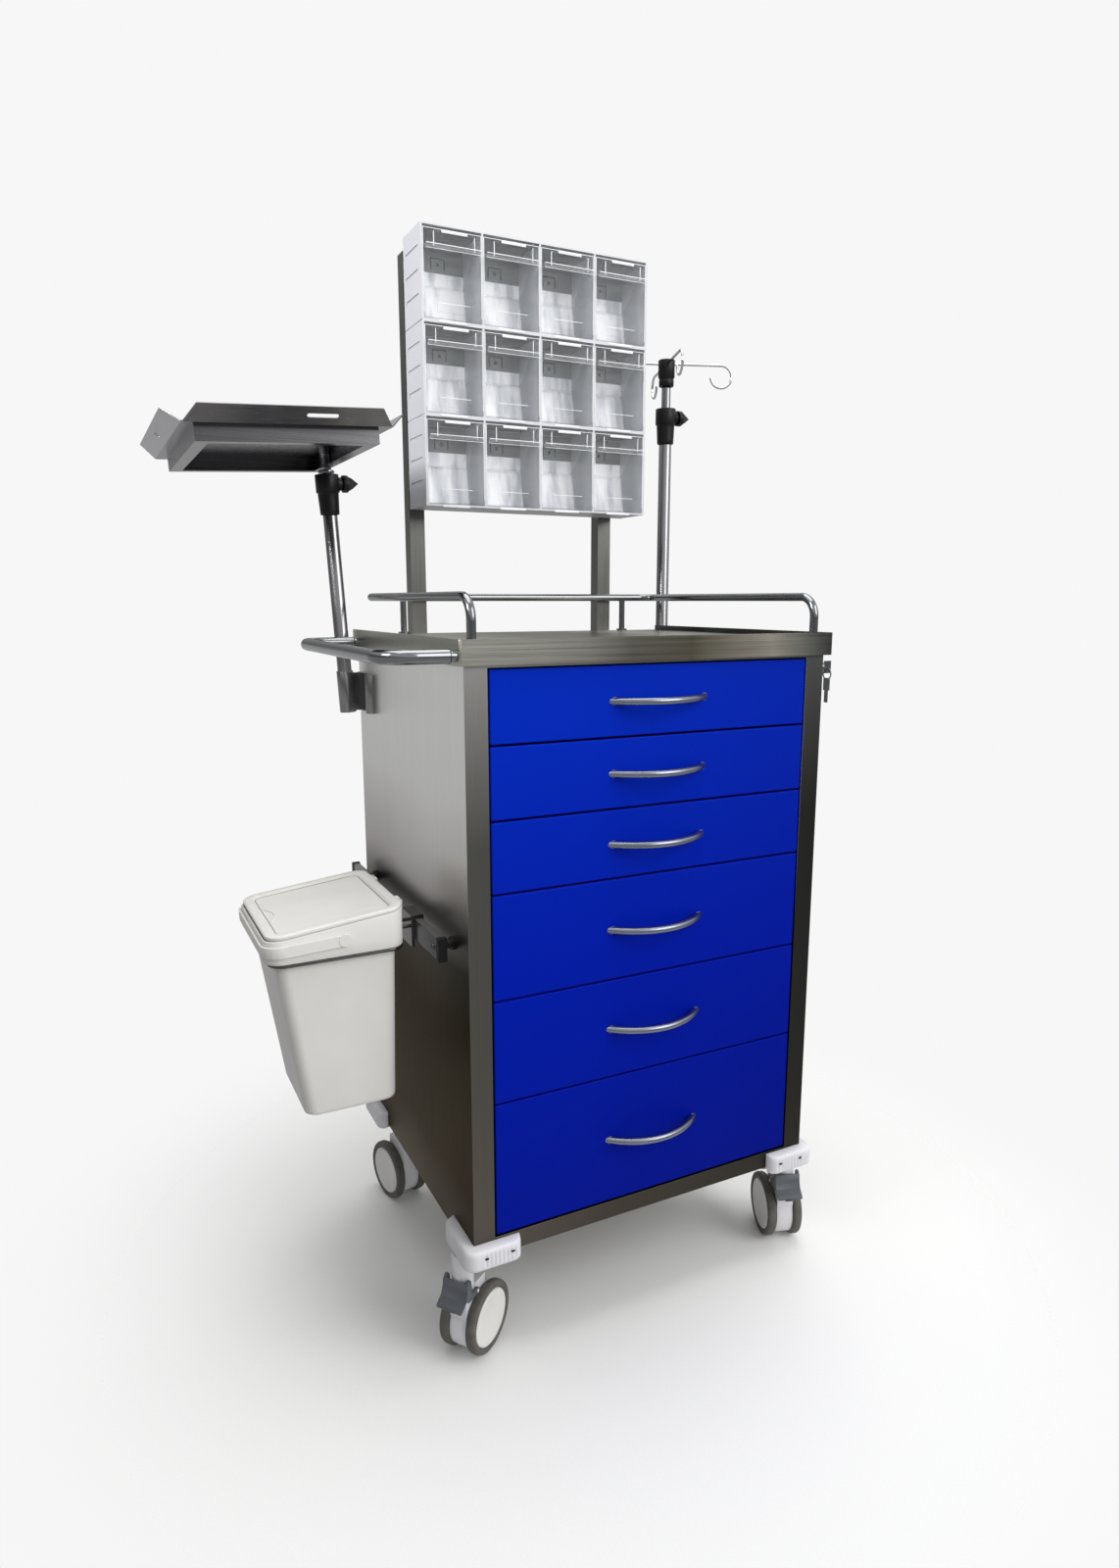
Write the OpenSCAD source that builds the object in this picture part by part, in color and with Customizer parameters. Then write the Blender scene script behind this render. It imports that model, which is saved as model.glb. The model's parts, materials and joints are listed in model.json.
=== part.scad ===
// Medication cart: a steel drawer cabinet on four twin-wheel casters, with a
// rack of tilt-out bins, an infusion pole, a swivelling tray and a waste bin.
// Millimetres, +Z up. The origin is on the floor under the middle of the
// cabinet, X to the cart's right, the drawers face -Y.

/* [Cabinet] */
// outside width of the cabinet
body_w = 556; // [540:1:580]
// outside depth of the cabinet
body_d = 464; // [450:1:480]
// height of the cabinet's underside above the floor
body_bottom = 172; // [172:1:176]
// height of the cabinet's top, where the worktop starts
body_top = 968; // [962:1:972]
// width of each front corner post
post_w = 31; // [28:1:34]
// thickness of the folded sheet
sheet = 1.5; // [1.2:0.1:2]

/* [Worktop and push handle] */
// height of the worktop's edge
worktop_t = 32; // [28:1:36]
// how far the worktop's rim stands above its recessed surface
worktop_recess = 8; // [4:1:10]
// overhang of the worktop at the front and sides
worktop_over = 8.6; // [6:0.2:12]
// outside diameter of the push handle tube
handle_tube_d = 18; // [16:1:20]
// reach of the push handle out from the worktop's edge
handle_reach = 88; // [80:1:96]
// height of the push handle's centre line
handle_z = 980; // [978:1:984]

/* [Guard rail] */
// outside diameter of the guard rail tube
rail_tube_d = 12; // [10:1:14]
// height of the guard rail's centre line
guard_z = 1050; // [1040:1:1060]
// distance of the guard rail's side runs from the middle
guard_x = 264; // [258:1:268]

/* [Drawers] */
// height of one drawer step, drawers are 2, 3 or 4 steps high
drawer_step = 47.8; // [47:0.1:47.8]
// gap between neighbouring drawer fronts
front_gap = 3; // [2:0.5:4]
// thickness of a drawer front
front_t = 18; // [16:1:20]
// distance between a bow handle's two feet
bow_span = 140; // [120:1:150]
// how far a bow handle stands out from its drawer front
bow_depth = 28; // [22:1:32]

/* [Bin rack] */
// width of the stack of tilt-out bins
rack_w = 388; // [380:1:396]
// height of one row of bins
row_h = 133; // [130:1:136]
// depth of the bin housings
rack_d = 80; // [78:1:84]
// height of the lowest housing's underside
rack_z = 1188; // [1180:1:1200]
// sideways shift of the stack from the middle of the cart
rack_shift = 6; // [0:1:8]

/* [Poles, tray and hooks] */
// outside diameter of the two fixed pole tubes
pole_d = 22; // [21:0.5:24]
// distance of the poles from the middle of the cart
pole_x = 298.5; // [298:0.5:302]
// distance of the poles behind the middle of the cart
pole_y = 232; // [231:0.5:240]
// outward lean of the tray pole in degrees
tray_lean = 3; // [0:0.5:4]
// width of the tray's flat bottom
tray_w = 262; // [240:1:280]
// length of the tray's flat bottom
tray_l = 350; // [330:1:370]
// reach of each infusion hook from the pole to the middle of its loop
hook_reach = 100; // [85:1:110]

/* [Waste bin] */
// width of the waste bin's rim across the cart
waste_w = 176; // [166:1:180]
// length of the waste bin's rim along the cart
waste_l = 196; // [180:1:200]
// height of the waste bin's floor above the ground
waste_z = 388; // [380:1:396]

/* [Casters] */
// diameter of the caster wheels
wheel_d = 100; // [98:1:102]
// width of one wheel
wheel_w = 15; // [14:0.5:16]
// distance of the wheel axle from the swivel axis
trail = 29; // [27:1:30]
// distance of the front swivel axes from the middle, across the cart
front_caster_x = 281; // [270:1:281]
// distance of the rear swivel axes from the middle, across the cart
rear_caster_x = 236; // [230:1:281]
// distance of the swivel axes from the middle, along the cart
caster_y = 195; // [192:1:198]

/* [Hidden] */
$fn = 48;

steel = [0.66, 0.65, 0.63];
bright_steel = [0.78, 0.78, 0.79];
blue = [0.01, 0.07, 0.62];
clear_plastic = [0.82, 0.86, 0.88];
off_white = [0.88, 0.88, 0.85];
white_plastic = [0.93, 0.93, 0.93];
black_plastic = [0.05, 0.05, 0.06];
pedal_grey = [0.22, 0.25, 0.3];
wheel_grey = [0.3, 0.29, 0.29];

half_w = body_w / 2;
half_d = body_d / 2;
front_y = -half_d;
worktop_z = body_top + worktop_t;
deck_z = worktop_z - worktop_recess;
seat_depth = 1;
seat_play = 0.2;
guard_rear_y = half_d - 12;
guard_foot_y = front_y + 8;
guard_foot_x = 205;
eps = 0.01;

// drawer opening
open_x = half_w - post_w;
open_z0 = body_bottom + 26;
open_z1 = body_top - 3;
post_d = 30;
front_x = open_x - 2.5;
stack_z1 = open_z1 - 2;
drawer_steps = [2, 2, 2, 3, 3, 4];
box_x = 226;
box_back = 186;
slide_h = 12;
slide_t = 9;
slide_len = 392;

// lock
lock_y = front_y + 12;
lock_z = 949;

// bin rack
rack_x0 = rack_shift - rack_w / 2;
rack_y1 = half_d - 10;
rack_y0 = rack_y1 - rack_d;
rack_wall = 3;
rack_skin = 2.5;
bin_clear = (rack_w - 5 * rack_wall) / 4;
bin_pitch = bin_clear + rack_wall;
bin_w = bin_clear - 1;
bin_r = 5.5;
bin_h = row_h - 2 * rack_skin - bin_r - 1;
pin_r = 2;
fit = 0.05;

// poles
upright = 25;
upright_x = 173.5;
iv_collar_z = 1322;
inner_tube_r = 8;
pole_z0 = 868;
pole_r = pole_d / 2;
bracket_h = 60;
collar_low = 33;
collar_h = 60;
collar_grip = 20;
knob_z = 46;
knob_x = 23;
stud_r = 4;
hook_head_z = 1420;
tray_collar_z = 1176 - pole_z0;
tray_z = 1246 - pole_z0;
tray_flare = 20;
tray_rise = 18;
tray_sheet = 1.5;
frame_h = 20;
frame_inset = 16;
frame_lip = 17;
stem_edge = 9;
stem_flange_z = tray_z - 8;
pivot_r = 5;

// waste bin and its rail
arail_x = half_w + 17;
arail_t = 10;
arail_h = 30;
arail_z = 604;
arail_y0 = -190;
arail_y1 = 212;
standoff_y = [-177, 177];
waste_y = -78;
waste_x1 = -340;
waste_x0 = waste_x1 - waste_w;
waste_rim_z = 609;
waste_slant = 6.5;
waste_lid_z = 659;
waste_r = 22;
bail_x = -420;
bail_z = 631;
bail_slant = 3;
bail_h = 14;
bail_pin_r = 3;
hoop_r = 2.5;

// casters, their pads under the cabinet and the corner bumpers
wheel_r = wheel_d / 2;
fork_w = 26;
fork_r = wheel_r - 5;
axle_r = 6;
stem_r = 8;
head_r = 15.5;
head_z = 110;
pedal_x = 8;
pedal_z = 105;
pedal_w = 40;
pedal_pin_r = 2.5;
pad = 84;
pad_l = 68;
pad_t = 6;
pad_z = body_bottom - pad_t;
pad_out = 12;
pad_back = 4;
bumper_out = 17;
bumper_h = 29;
wheel_gap = 0.8;

// a box whose four upright edges are rounded
module rounded_slab(size, r) {
  linear_extrude(size[2]) {
    translate([r, 0]) square([size[0] - 2 * r, size[1]]);
    translate([0, r]) square([size[0], size[1] - 2 * r]);
    for (x = [r, size[0] - r], y = [r, size[1] - r]) translate([x, y]) circle(r);
  }
}

// a round bar between two points on one axis-aligned line
module bar_x(x0, x1, r) {
  translate([x0, 0, 0]) rotate([0, 90, 0]) cylinder(h = x1 - x0, r = r);
}
module bar_y(y0, y1, r) {
  translate([0, y0, 0]) rotate([-90, 0, 0]) cylinder(h = y1 - y0, r = r);
}

// a quarter of a bent tube in the XY plane, from +X round to +Y
module elbow(bend, r, turn = 90) {
  rotate_extrude(angle = turn) translate([bend, 0]) circle(r);
}

module both_sides() {
  children();
  mirror([1, 0, 0]) children();
}

module four_corners() {
  both_sides() {
    children();
    mirror([0, 1, 0]) children();
  }
}

// ---- cabinet ----

module cabinet_shell() {
  color(steel) {
    // back and the two sides
    translate([-half_w, half_d - sheet, body_bottom]) cube([body_w, sheet, body_top - body_bottom]);
    both_sides() translate([half_w - sheet, front_y, body_bottom])
      cube([sheet, body_d, body_top - body_bottom]);
    // floor and lid
    for (z = [body_bottom, body_top - sheet])
      translate([-half_w, front_y, z]) cube([body_w, body_d, sheet]);
    // folded front posts
    both_sides() {
      translate([open_x, front_y, body_bottom]) cube([post_w, sheet, body_top - body_bottom]);
      translate([open_x, front_y, body_bottom]) cube([sheet, post_d, body_top - body_bottom]);
      translate([open_x, front_y + post_d - sheet, body_bottom])
        cube([sheet + 8, sheet, body_top - body_bottom]);
    }
    // bottom rail under the lowest drawer
    translate([-open_x, front_y, body_bottom]) cube([2 * open_x, sheet, open_z0 - body_bottom]);
    translate([-open_x, front_y, open_z0 - sheet]) cube([2 * open_x, post_d, sheet]);
    translate([-open_x, front_y + post_d - sheet, body_bottom])
      cube([2 * open_x, sheet, open_z0 - body_bottom]);
    // top rail above the highest drawer
    translate([-open_x, front_y, open_z1]) cube([2 * open_x, post_d, body_top - open_z1]);
  }
}

// four caster pads that reach out into the bumpers, joined by four channels
module base_frame() {
  channel_w = 40;
  pad_x = half_w + pad_out - pad;
  pad_y = half_d - pad_back - pad_l;
  color(steel) difference() {
    union() {
      four_corners() translate([pad_x, pad_y, pad_z]) rounded_slab([pad, pad_l, pad_t], 10);
      for (y = [-pad_y - channel_w - 20, pad_y + 20])
        translate([-pad_x - 10, y, pad_z]) cube([2 * pad_x + 20, channel_w, pad_t]);
      for (x = [-pad_x - channel_w - 20, pad_x + 20])
        translate([x, -pad_y - 10, pad_z]) cube([channel_w, 2 * pad_y + 20, pad_t]);
    }
    for (i = [0:3]) at_caster(i) translate([0, 0, pad_z - 1]) cylinder(h = pad_t, r = stem_r + fit);
  }
}

module worktop() {
  x = half_w + worktop_over;
  y0 = front_y - worktop_over;
  l = half_d - y0;
  skin = 2;
  color(steel) {
    difference() {
      translate([-x, y0, body_top]) rounded_slab([2 * x, l, worktop_t], 3);
      // hollow underside
      translate([-x + skin, y0 + skin, body_top - 1])
        cube([2 * (x - skin), l - 2 * skin, worktop_t - worktop_recess - skin + 1]);
      // recessed surface, open at the back
      translate([-x + skin + 1, y0 + skin + 1, deck_z])
        cube([2 * (x - skin - 1), l, worktop_recess + 1]);
      // shallow seats for the guard rail's feet
      guard_feet(seat_play, worktop_recess);
    }
    // battens that carry the surface on the cabinet
    for (bx = [-0.38, 0, 0.38])
      translate([bx * body_w - 12, front_y + 20, body_top])
        cube([24, body_d - 40, worktop_t - worktop_recess - skin + eps]);
  }
}

// round feet of the guard rail: two in front, two behind
module guard_feet(play, h) {
  for (foot = [[guard_x, guard_foot_y, 4], [guard_foot_x, guard_rear_y, 3]]) both_sides()
    translate([foot[0], foot[1], deck_z - seat_depth]) cylinder(h = h, r = rail_tube_d / 2 + foot[2] + play);
}

// one bent tube round the back and both sides, with two extra feet behind
module guard_rail() {
  r = rail_tube_d / 2;
  bend = 28;
  color(bright_steel) {
    guard_feet(0, 4);
    both_sides() {
      translate([guard_x, guard_foot_y, deck_z]) cylinder(h = guard_z - bend - deck_z, r = r);
      translate([guard_x, guard_foot_y + bend, guard_z - bend]) rotate([90, 0, -90]) elbow(bend, r);
      translate([guard_x, 0, guard_z]) bar_y(guard_foot_y + bend, guard_rear_y - bend, r);
      translate([guard_x - bend, guard_rear_y - bend, guard_z]) elbow(bend, r);
      translate([guard_foot_x, guard_rear_y, deck_z]) cylinder(h = guard_z - deck_z, r = r - 1);
    }
    translate([0, guard_rear_y, guard_z]) bar_x(-guard_x + bend, guard_x - bend, r);
  }
}

// a level U of tube on the left end of the worktop
module push_handle() {
  r = handle_tube_d / 2;
  spigot = 8;
  bend = 38;
  root_x = -half_w - worktop_over;
  tip_x = root_x - handle_reach;
  arm_y = [front_y + 2, half_d - 34];
  color(bright_steel) {
    for (y = arm_y) translate([0, y, handle_z]) {
      bar_x(root_x - spigot, root_x, r - 2);
      bar_x(tip_x + bend, root_x - spigot, r);
    }
    translate([tip_x + bend, arm_y[0] + bend, handle_z]) rotate([0, 0, 180]) elbow(bend, r);
    translate([tip_x + bend, arm_y[1] - bend, handle_z]) rotate([0, 0, 90]) elbow(bend, r);
    translate([tip_x, 0, handle_z]) bar_y(arm_y[0] + bend, arm_y[1] - bend, r);
  }
}

// ---- drawers ----

function steps_above(n) = n == 0 ? 0 : drawer_steps[n - 1] + steps_above(n - 1);
function drawer_z1(n) = stack_z1 - drawer_step * steps_above(n);
function drawer_z0(n) = drawer_z1(n + 1) + front_gap;
function drawer_mid(n) = (drawer_z0(n) + drawer_z1(n)) / 2;
function slide_z(n) = drawer_z0(n) + 26;

module drawer_front(n) {
  h = drawer_z1(n) - drawer_z0(n);
  wall = 3;
  color(blue) difference() {
    translate([-front_x, front_y, drawer_z0(n)]) cube([2 * front_x, front_t, h]);
    // folded back: hollow behind the skin, solid where the handle bolts on
    difference() {
      translate([-front_x + wall, front_y + wall, drawer_z0(n) + wall])
        cube([2 * (front_x - wall), front_t, h - 2 * wall]);
      for (s = [-1, 1]) translate([s * bow_span / 2 - 12, front_y, drawer_mid(n) - 14])
        cube([24, front_t, 28]);
      translate([-box_x - 4, front_y, drawer_z0(n) + 8]) cube([2 * box_x + 8, front_t, 5]);
    }
    for (s = [-1, 1]) translate([s * bow_span / 2, 0, drawer_mid(n)])
      bar_y(front_y - 1, front_y + front_t + 1, 3.2);
  }
}

// an arched round bar on two feet, its studs clamping the drawer front
module bow_handle(z) {
  bow = ((bow_span / 2) * (bow_span / 2) + bow_depth * bow_depth) / (2 * bow_depth);
  half_angle = asin(bow_span / 2 / bow);
  bar_r = 5;
  translate([0, front_y, z]) {
    intersection() {
      translate([0, bow - bow_depth, 0]) rotate([0, 0, -90 - half_angle - 4])
        elbow(bow, bar_r, 2 * half_angle + 8);
      translate([-bow_span, -2 * bow_depth, -bar_r]) cube([2 * bow_span, 2 * bow_depth, 2 * bar_r]);
    }
    for (s = [-1, 1]) translate([s * bow_span / 2, 0, 0]) {
      bar_y(-1, 0, bar_r + 0.6);
      bar_y(-1, front_t + 1, 3);
    }
  }
}

// the steel box, its two slide members and the bow handle bolted through the front
module drawer_box(n) {
  z0 = drawer_z0(n) + 8;
  z1 = drawer_z1(n) - 14;
  y0 = front_y + front_t;
  l = box_back - y0;
  color(steel) {
    difference() {
      translate([-box_x, y0, z0]) cube([2 * box_x, l, z1 - z0]);
      translate([-box_x + sheet, y0 + sheet, z0 + sheet])
        cube([2 * (box_x - sheet), l - 2 * sheet, z1 - z0]);
    }
    both_sides() {
      translate([box_x - eps, y0 + 4, slide_z(n) - slide_h / 2]) cube([slide_t + eps, slide_len, slide_h]);
      // rolled rim of the box
      translate([box_x, 0, z1 - 2]) bar_y(y0, box_back, 2);
    }
    bow_handle(drawer_mid(n));
  }
}

// fixed channel that holds a drawer's slide member on each side
module drawer_runners() {
  play = 0.5;
  flange = 2;
  y0 = front_y + front_t + 4;
  x0 = box_x + 3;
  x1 = open_x - 3;
  outer_h = slide_h + 2 * (play + flange);
  color(bright_steel) both_sides() for (n = [0:5]) translate([0, 0, slide_z(n)]) {
    difference() {
      translate([x0, y0, -outer_h / 2]) cube([x1 - x0, slide_len, outer_h]);
      translate([x0 - 1, y0 - 1, -slide_h / 2 - play])
        cube([slide_t - 1 + play, slide_len + 2, slide_h + 2 * play]);
    }
    for (y = [front_y + post_d + 12, box_back - 40])
      translate([x1 - eps, y, -7]) cube([half_w - sheet - x1 + eps, 20, 14]);
  }
}

// ---- lock ----

module lock_housing() {
  color(bright_steel) translate([0, lock_y, lock_z]) difference() {
    union() {
      bar_x(half_w, half_w + 4, 11);
      bar_x(half_w, half_w + 8, 8);
    }
    bar_x(half_w - 1, half_w + 9, 5 + fit);
  }
}

// key plug with a key in it, a ring and a second key hanging
module lock_key() {
  ring = 8;
  color(bright_steel) {
    translate([0, lock_y, lock_z]) bar_x(half_w + 0.5, half_w + 9, 5);
    translate([half_w + 9 - eps, lock_y - 1, lock_z - 4]) cube([4, 2, 8]);
    translate([half_w + 13 - 2 * eps, lock_y - 1, lock_z - 9]) cube([12, 2, 18]);
    translate([half_w + 19, lock_y, lock_z - 10]) rotate([0, 90, 0]) rotate_extrude()
      translate([ring, 0]) circle(1);
    translate([half_w + 17.5, lock_y - 6, lock_z - 34]) rounded_slab([3, 12, 18], 1);
    translate([half_w + 18, lock_y - 3, lock_z - 52]) cube([2, 6, 19]);
  }
}

// ---- rack of tilt-out bins ----

module rack_uprights() {
  top = rack_z + 3 * row_h - 14;
  low = 700;
  wall = 2;
  color(steel) {
    both_sides() difference() {
      translate([upright_x - upright / 2, half_d, low]) cube([upright, upright, top - low]);
      translate([upright_x - upright / 2 + wall, half_d + wall, low - 1])
        cube([upright - 2 * wall, upright - 2 * wall, top - low - 2]);
    }
    for (z = [rack_z + 30, rack_z + 3 * row_h - 60])
      translate([-upright_x - upright / 2, half_d - 10, z]) cube([2 * upright_x + upright, 10 + eps, 30]);
  }
}

module housing_holes(row) {
  for (i = [0:4]) translate([0, rack_y0 + bin_r, rack_z + row * row_h + rack_skin + 0.5 + bin_r])
    bar_x(rack_x0 + i * bin_pitch - (i == 0 ? -1.5 : 1),
          rack_x0 + i * bin_pitch + (i == 4 ? 1.5 : rack_wall + 1), pin_r + fit);
}

// three housings, each a row of four open compartments
module bin_housings() {
  color(white_plastic) difference() {
    translate([rack_x0, rack_y0, rack_z]) cube([rack_w, rack_d, 3 * row_h]);
    for (row = [0:2], i = [0:3])
      translate([rack_x0 + rack_wall + i * bin_pitch, rack_y0 - 1, rack_z + row * row_h + rack_skin])
        cube([bin_clear, rack_d - 1, row_h - 2 * rack_skin]);
    for (row = [0:2]) housing_holes(row);
    // seams between the housings and finger grooves in their sides
    for (row = [1:2], x = [rack_x0 - 1, rack_x0 + rack_w - 0.8])
      translate([x, rack_y0 - 1, rack_z + row * row_h - 0.6]) cube([1.8, rack_d + 2, 1.2]);
    for (row = [0:2], k = [1:3], x = [rack_x0 - 1, rack_x0 + rack_w - 1])
      translate([x, rack_y0 + 14, rack_z + row * row_h + k * row_h / 4]) cube([2, rack_d - 24, 6]);
  }
}

// clear bucket that tips forward on two pins at its lower front edge
module tilt_bin(row, column) {
  wall = 2;
  depth = rack_d - 14;
  back_h = 60;
  color(clear_plastic)
  translate([rack_x0 + rack_wall + column * bin_pitch + bin_clear / 2, rack_y0 + bin_r,
             rack_z + (2 - row) * row_h + rack_skin + 0.5 + bin_r]) {
    difference() {
      translate([-bin_w / 2, 0, 0]) rotate([90, 0, 90]) linear_extrude(bin_w) {
        circle(bin_r);
        polygon([[-bin_r, 0], [-bin_r, bin_h], [-1, bin_h], [depth + 2, back_h], [depth - 10, -bin_r],
                 [0, -bin_r]]);
      }
      translate([-bin_w / 2 + wall, 0, 0]) rotate([90, 0, 90]) linear_extrude(bin_w - 2 * wall)
        polygon([[wall - bin_r, wall - bin_r], [wall - bin_r, bin_h + 9], [depth, bin_h + 9],
                 [depth, back_h - 1], [depth - 11.6, wall - bin_r]]);
    }
    // finger ledge, card frame above it and label pocket at the foot
    translate([-bin_w / 2 + 3, -bin_r - 8, bin_h * 0.73]) cube([bin_w - 6, 8 + eps, 3]);
    translate([-bin_w / 2 + 3, -bin_r - 8, bin_h * 0.73]) cube([bin_w - 6, 2, 7]);
    for (x = [-30, 33]) translate([x, -bin_r - 2, bin_h * 0.73]) cube([2, 2 + eps, 26]);
    translate([-30, -bin_r - 2, bin_h * 0.73 + 24]) cube([65, 2 + eps, 2]);
    translate([-26, -bin_r - 1.5, 4]) cube([52, 1.5 + eps, 13]);
    for (s = [-1, 1]) translate([s * (bin_w / 2 + 0.5), 0, 0]) bar_x(-0.9, 0.9, pin_r);
  }
}

// ---- poles ----

module lean() {
  translate([-pole_x, pole_y, pole_z0]) rotate([0, -tray_lean, 0]) children();
}

// fixed tube, closed at its foot and thicker where the bracket holds it
module pole_tube(tube_h) {
  wall = 1.5;
  floor_t = 4;
  difference() {
    union() {
      cylinder(h = tube_h, r = pole_r);
      cylinder(h = bracket_h + 6, r = pole_r + 2);
    }
    translate([0, 0, floor_t]) cylinder(h = tube_h, r = pole_r - wall);
  }
}

// plate on the side panel, rounded column at its front end, web to the pole
module socket_bracket() {
  plate_l = 84;
  plate_t = 3;
  column_r = 9;
  plate_y = pole_y - plate_l;
  color(steel) translate([0, 0, pole_z0 + 4]) {
    translate([-half_w - plate_t, plate_y, 0]) cube([plate_t, plate_l, bracket_h]);
    translate([-half_w - plate_t, plate_y + column_r, 0]) intersection() {
      cylinder(h = bracket_h, r = column_r);
      translate([-2 * column_r, -2 * column_r, -1]) cube([2 * column_r + eps, 4 * column_r, bracket_h + 2]);
    }
    translate([-pole_x - 1, pole_y - pole_r - 8, 0]) cube([pole_x - half_w + 1, 10, bracket_h]);
  }
}

module pole_sockets() {
  color(steel) lean() pole_tube(tray_collar_z + collar_grip);
  color(steel) translate([pole_x, pole_y, pole_z0]) pole_tube(iv_collar_z + collar_grip - pole_z0);
  both_sides() socket_bracket();
}

// clamp collar on top of a fixed tube, with a boss for its knob
module collar() {
  boss_r = 10;
  difference() {
    union() {
      cylinder(h = collar_low, r1 = 14.5, r2 = 16);
      translate([0, 0, collar_low]) cylinder(h = collar_h - collar_low, r = 18);
      translate([0, 0, knob_z]) bar_x(0, knob_x, boss_r);
    }
    translate([0, 0, -1]) cylinder(h = collar_grip + 1, r = pole_r);
    translate([0, 0, collar_grip - 1]) cylinder(h = collar_h, r = inner_tube_r + fit);
    translate([0, 0, knob_z]) bar_x(0, knob_x + 1, stud_r + fit);
  }
}

module pole_collars() {
  color(black_plastic) {
    lean() translate([0, 0, tray_collar_z]) collar();
    translate([pole_x, pole_y, iv_collar_z]) collar();
  }
}

// stud, disc and pointed wing
module knob() {
  disc_r = 13;
  wing_t = 6;
  translate([0, 0, knob_z]) {
    bar_x(inner_tube_r + 1, knob_x + 1, stud_r);
    bar_x(knob_x + 0.5, knob_x + 8, disc_r);
    translate([knob_x + 7, wing_t / 2, 0]) rotate([90, 0, 0]) linear_extrude(wing_t)
      polygon([[0, -disc_r + 1], [0, disc_r - 1], [8, 8], [18, 0], [8, -8]]);
  }
}

module iv_knob() {
  color(black_plastic) translate([pole_x, pole_y, iv_collar_z]) knob();
}
module tray_knob() {
  color(black_plastic) lean() translate([0, 0, tray_collar_z]) knob();
}

module iv_inner_tube() {
  z0 = 960;
  color(bright_steel) translate([pole_x, pole_y, z0]) difference() {
    cylinder(h = hook_head_z + 30 - z0, r = inner_tube_r);
    translate([0, 0, -1]) cylinder(h = hook_head_z + 10 - z0, r = inner_tube_r - 1.5);
  }
}

// one wire hook: a straight run, then a loop that turns back under itself
module wire_hook() {
  wire_r = 2.2;
  loop = 19;
  loop_end = -175;
  overlap = 5;
  bar_x(10, hook_reach, wire_r);
  translate([hook_reach, 0, -loop]) rotate([90, 0, 0]) rotate([0, 0, loop_end]) {
    elbow(loop, wire_r - 0.2, 90 + overlap - loop_end);
    translate([loop, 0, 0]) sphere(wire_r + 0.3);
  }
}

module iv_hook_head() {
  head_h = 45;
  color(black_plastic) translate([pole_x, pole_y, hook_head_z]) {
    difference() {
      cylinder(h = head_h, r1 = 13, r2 = 15);
      translate([0, 0, -1]) cylinder(h = 32, r = inner_tube_r + fit);
    }
    for (a = [-20 : 90 : 250]) rotate([0, 0, a]) translate([0, 0, head_h - 7]) wire_hook();
  }
}

// solid round bar that slides in the tray pole, with the tray's pivot pin on top
module tray_stem() {
  bar_z = 40;
  color(bright_steel) lean() {
    translate([0, 0, bar_z]) cylinder(h = stem_flange_z + 1 - bar_z, r = inner_tube_r);
    translate([0, 0, stem_flange_z]) cylinder(h = 4, r = 12);
    translate([0, 0, stem_flange_z + 3]) cylinder(h = tray_z + frame_h - stem_flange_z - 3.5, r = pivot_r);
  }
}

module tray() {
  x1 = stem_edge + frame_inset;
  x0 = x1 - tray_w;
  y1 = 75;
  y0 = y1 - tray_l;
  z = tray_z + frame_h;
  frame_l = tray_l - 2 * frame_inset;
  frame_w = tray_w - 2 * frame_inset;
  color(steel) lean() {
    // pan and its four flanges
    translate([x0, y0, z]) cube([tray_w, tray_l, tray_sheet]);
    translate([(x0 + x1) / 2, y1, z]) tray_flange(0, tray_w, true);
    translate([(x0 + x1) / 2, y0, z]) tray_flange(180, tray_w, true);
    translate([x1, (y0 + y1) / 2, z]) tray_flange(-90, tray_l, false);
    translate([x0, (y0 + y1) / 2, z]) tray_flange(90, tray_l, false);
    // channel frame under the pan
    difference() {
      translate([x0 + frame_inset, y0 + frame_inset, tray_z]) cube([frame_w, frame_l, frame_h + 0.5]);
      translate([x0 + frame_inset + tray_sheet, y0 + frame_inset + tray_sheet, tray_z + tray_sheet])
        cube([frame_w - 2 * tray_sheet, frame_l - 2 * tray_sheet, frame_h]);
      translate([x0 + frame_inset + frame_lip, y0 + frame_inset + frame_lip, tray_z - 1])
        cube([frame_w - 2 * frame_lip, frame_l - 2 * frame_lip, 4]);
      translate([0, 0, tray_z - 1]) cylinder(h = 4, r = pivot_r + fit);
    }
    // sleeve that turns on the stem's pin
    translate([0, 0, stem_flange_z + 4.2]) difference() {
      cylinder(h = z + 0.5 - stem_flange_z - 4.2, r = 8);
      translate([0, 0, -1]) cylinder(h = z + 1 - stem_flange_z - 4.2, r = pivot_r + fit);
    }
  }
}

// one flared flange of the tray, a trapezium with its ends cut back
module tray_flange(turn, l, slotted) {
  slope_l = sqrt(tray_flare * tray_flare + tray_rise * tray_rise);
  relief = 2;
  cut_back = 16;
  slot = 34;
  foot = l / 2 - relief;
  rotate([0, 0, turn]) rotate([atan(tray_rise / tray_flare), 0, 0]) difference() {
    linear_extrude(tray_sheet)
      polygon([[-foot, -0.5], [foot, -0.5], [foot - cut_back, slope_l], [-foot + cut_back, slope_l]]);
    if (slotted) translate([-20, slope_l / 2, -1]) linear_extrude(tray_sheet + 2) {
      translate([-slot, -3]) square([slot, 6]);
      for (x = [-slot, 0]) translate([x, 0]) circle(3);
    }
    else translate([0, slope_l / 2, -1]) cylinder(h = tray_sheet + 2, r = 4);
  }
}

// ---- accessory rail and waste bin ----

module accessory_rail() {
  color(steel) translate([-arail_x - arail_t, arail_y0, arail_z - arail_h / 2])
    cube([arail_t, arail_y1 - arail_y0, arail_h]);
}

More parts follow.
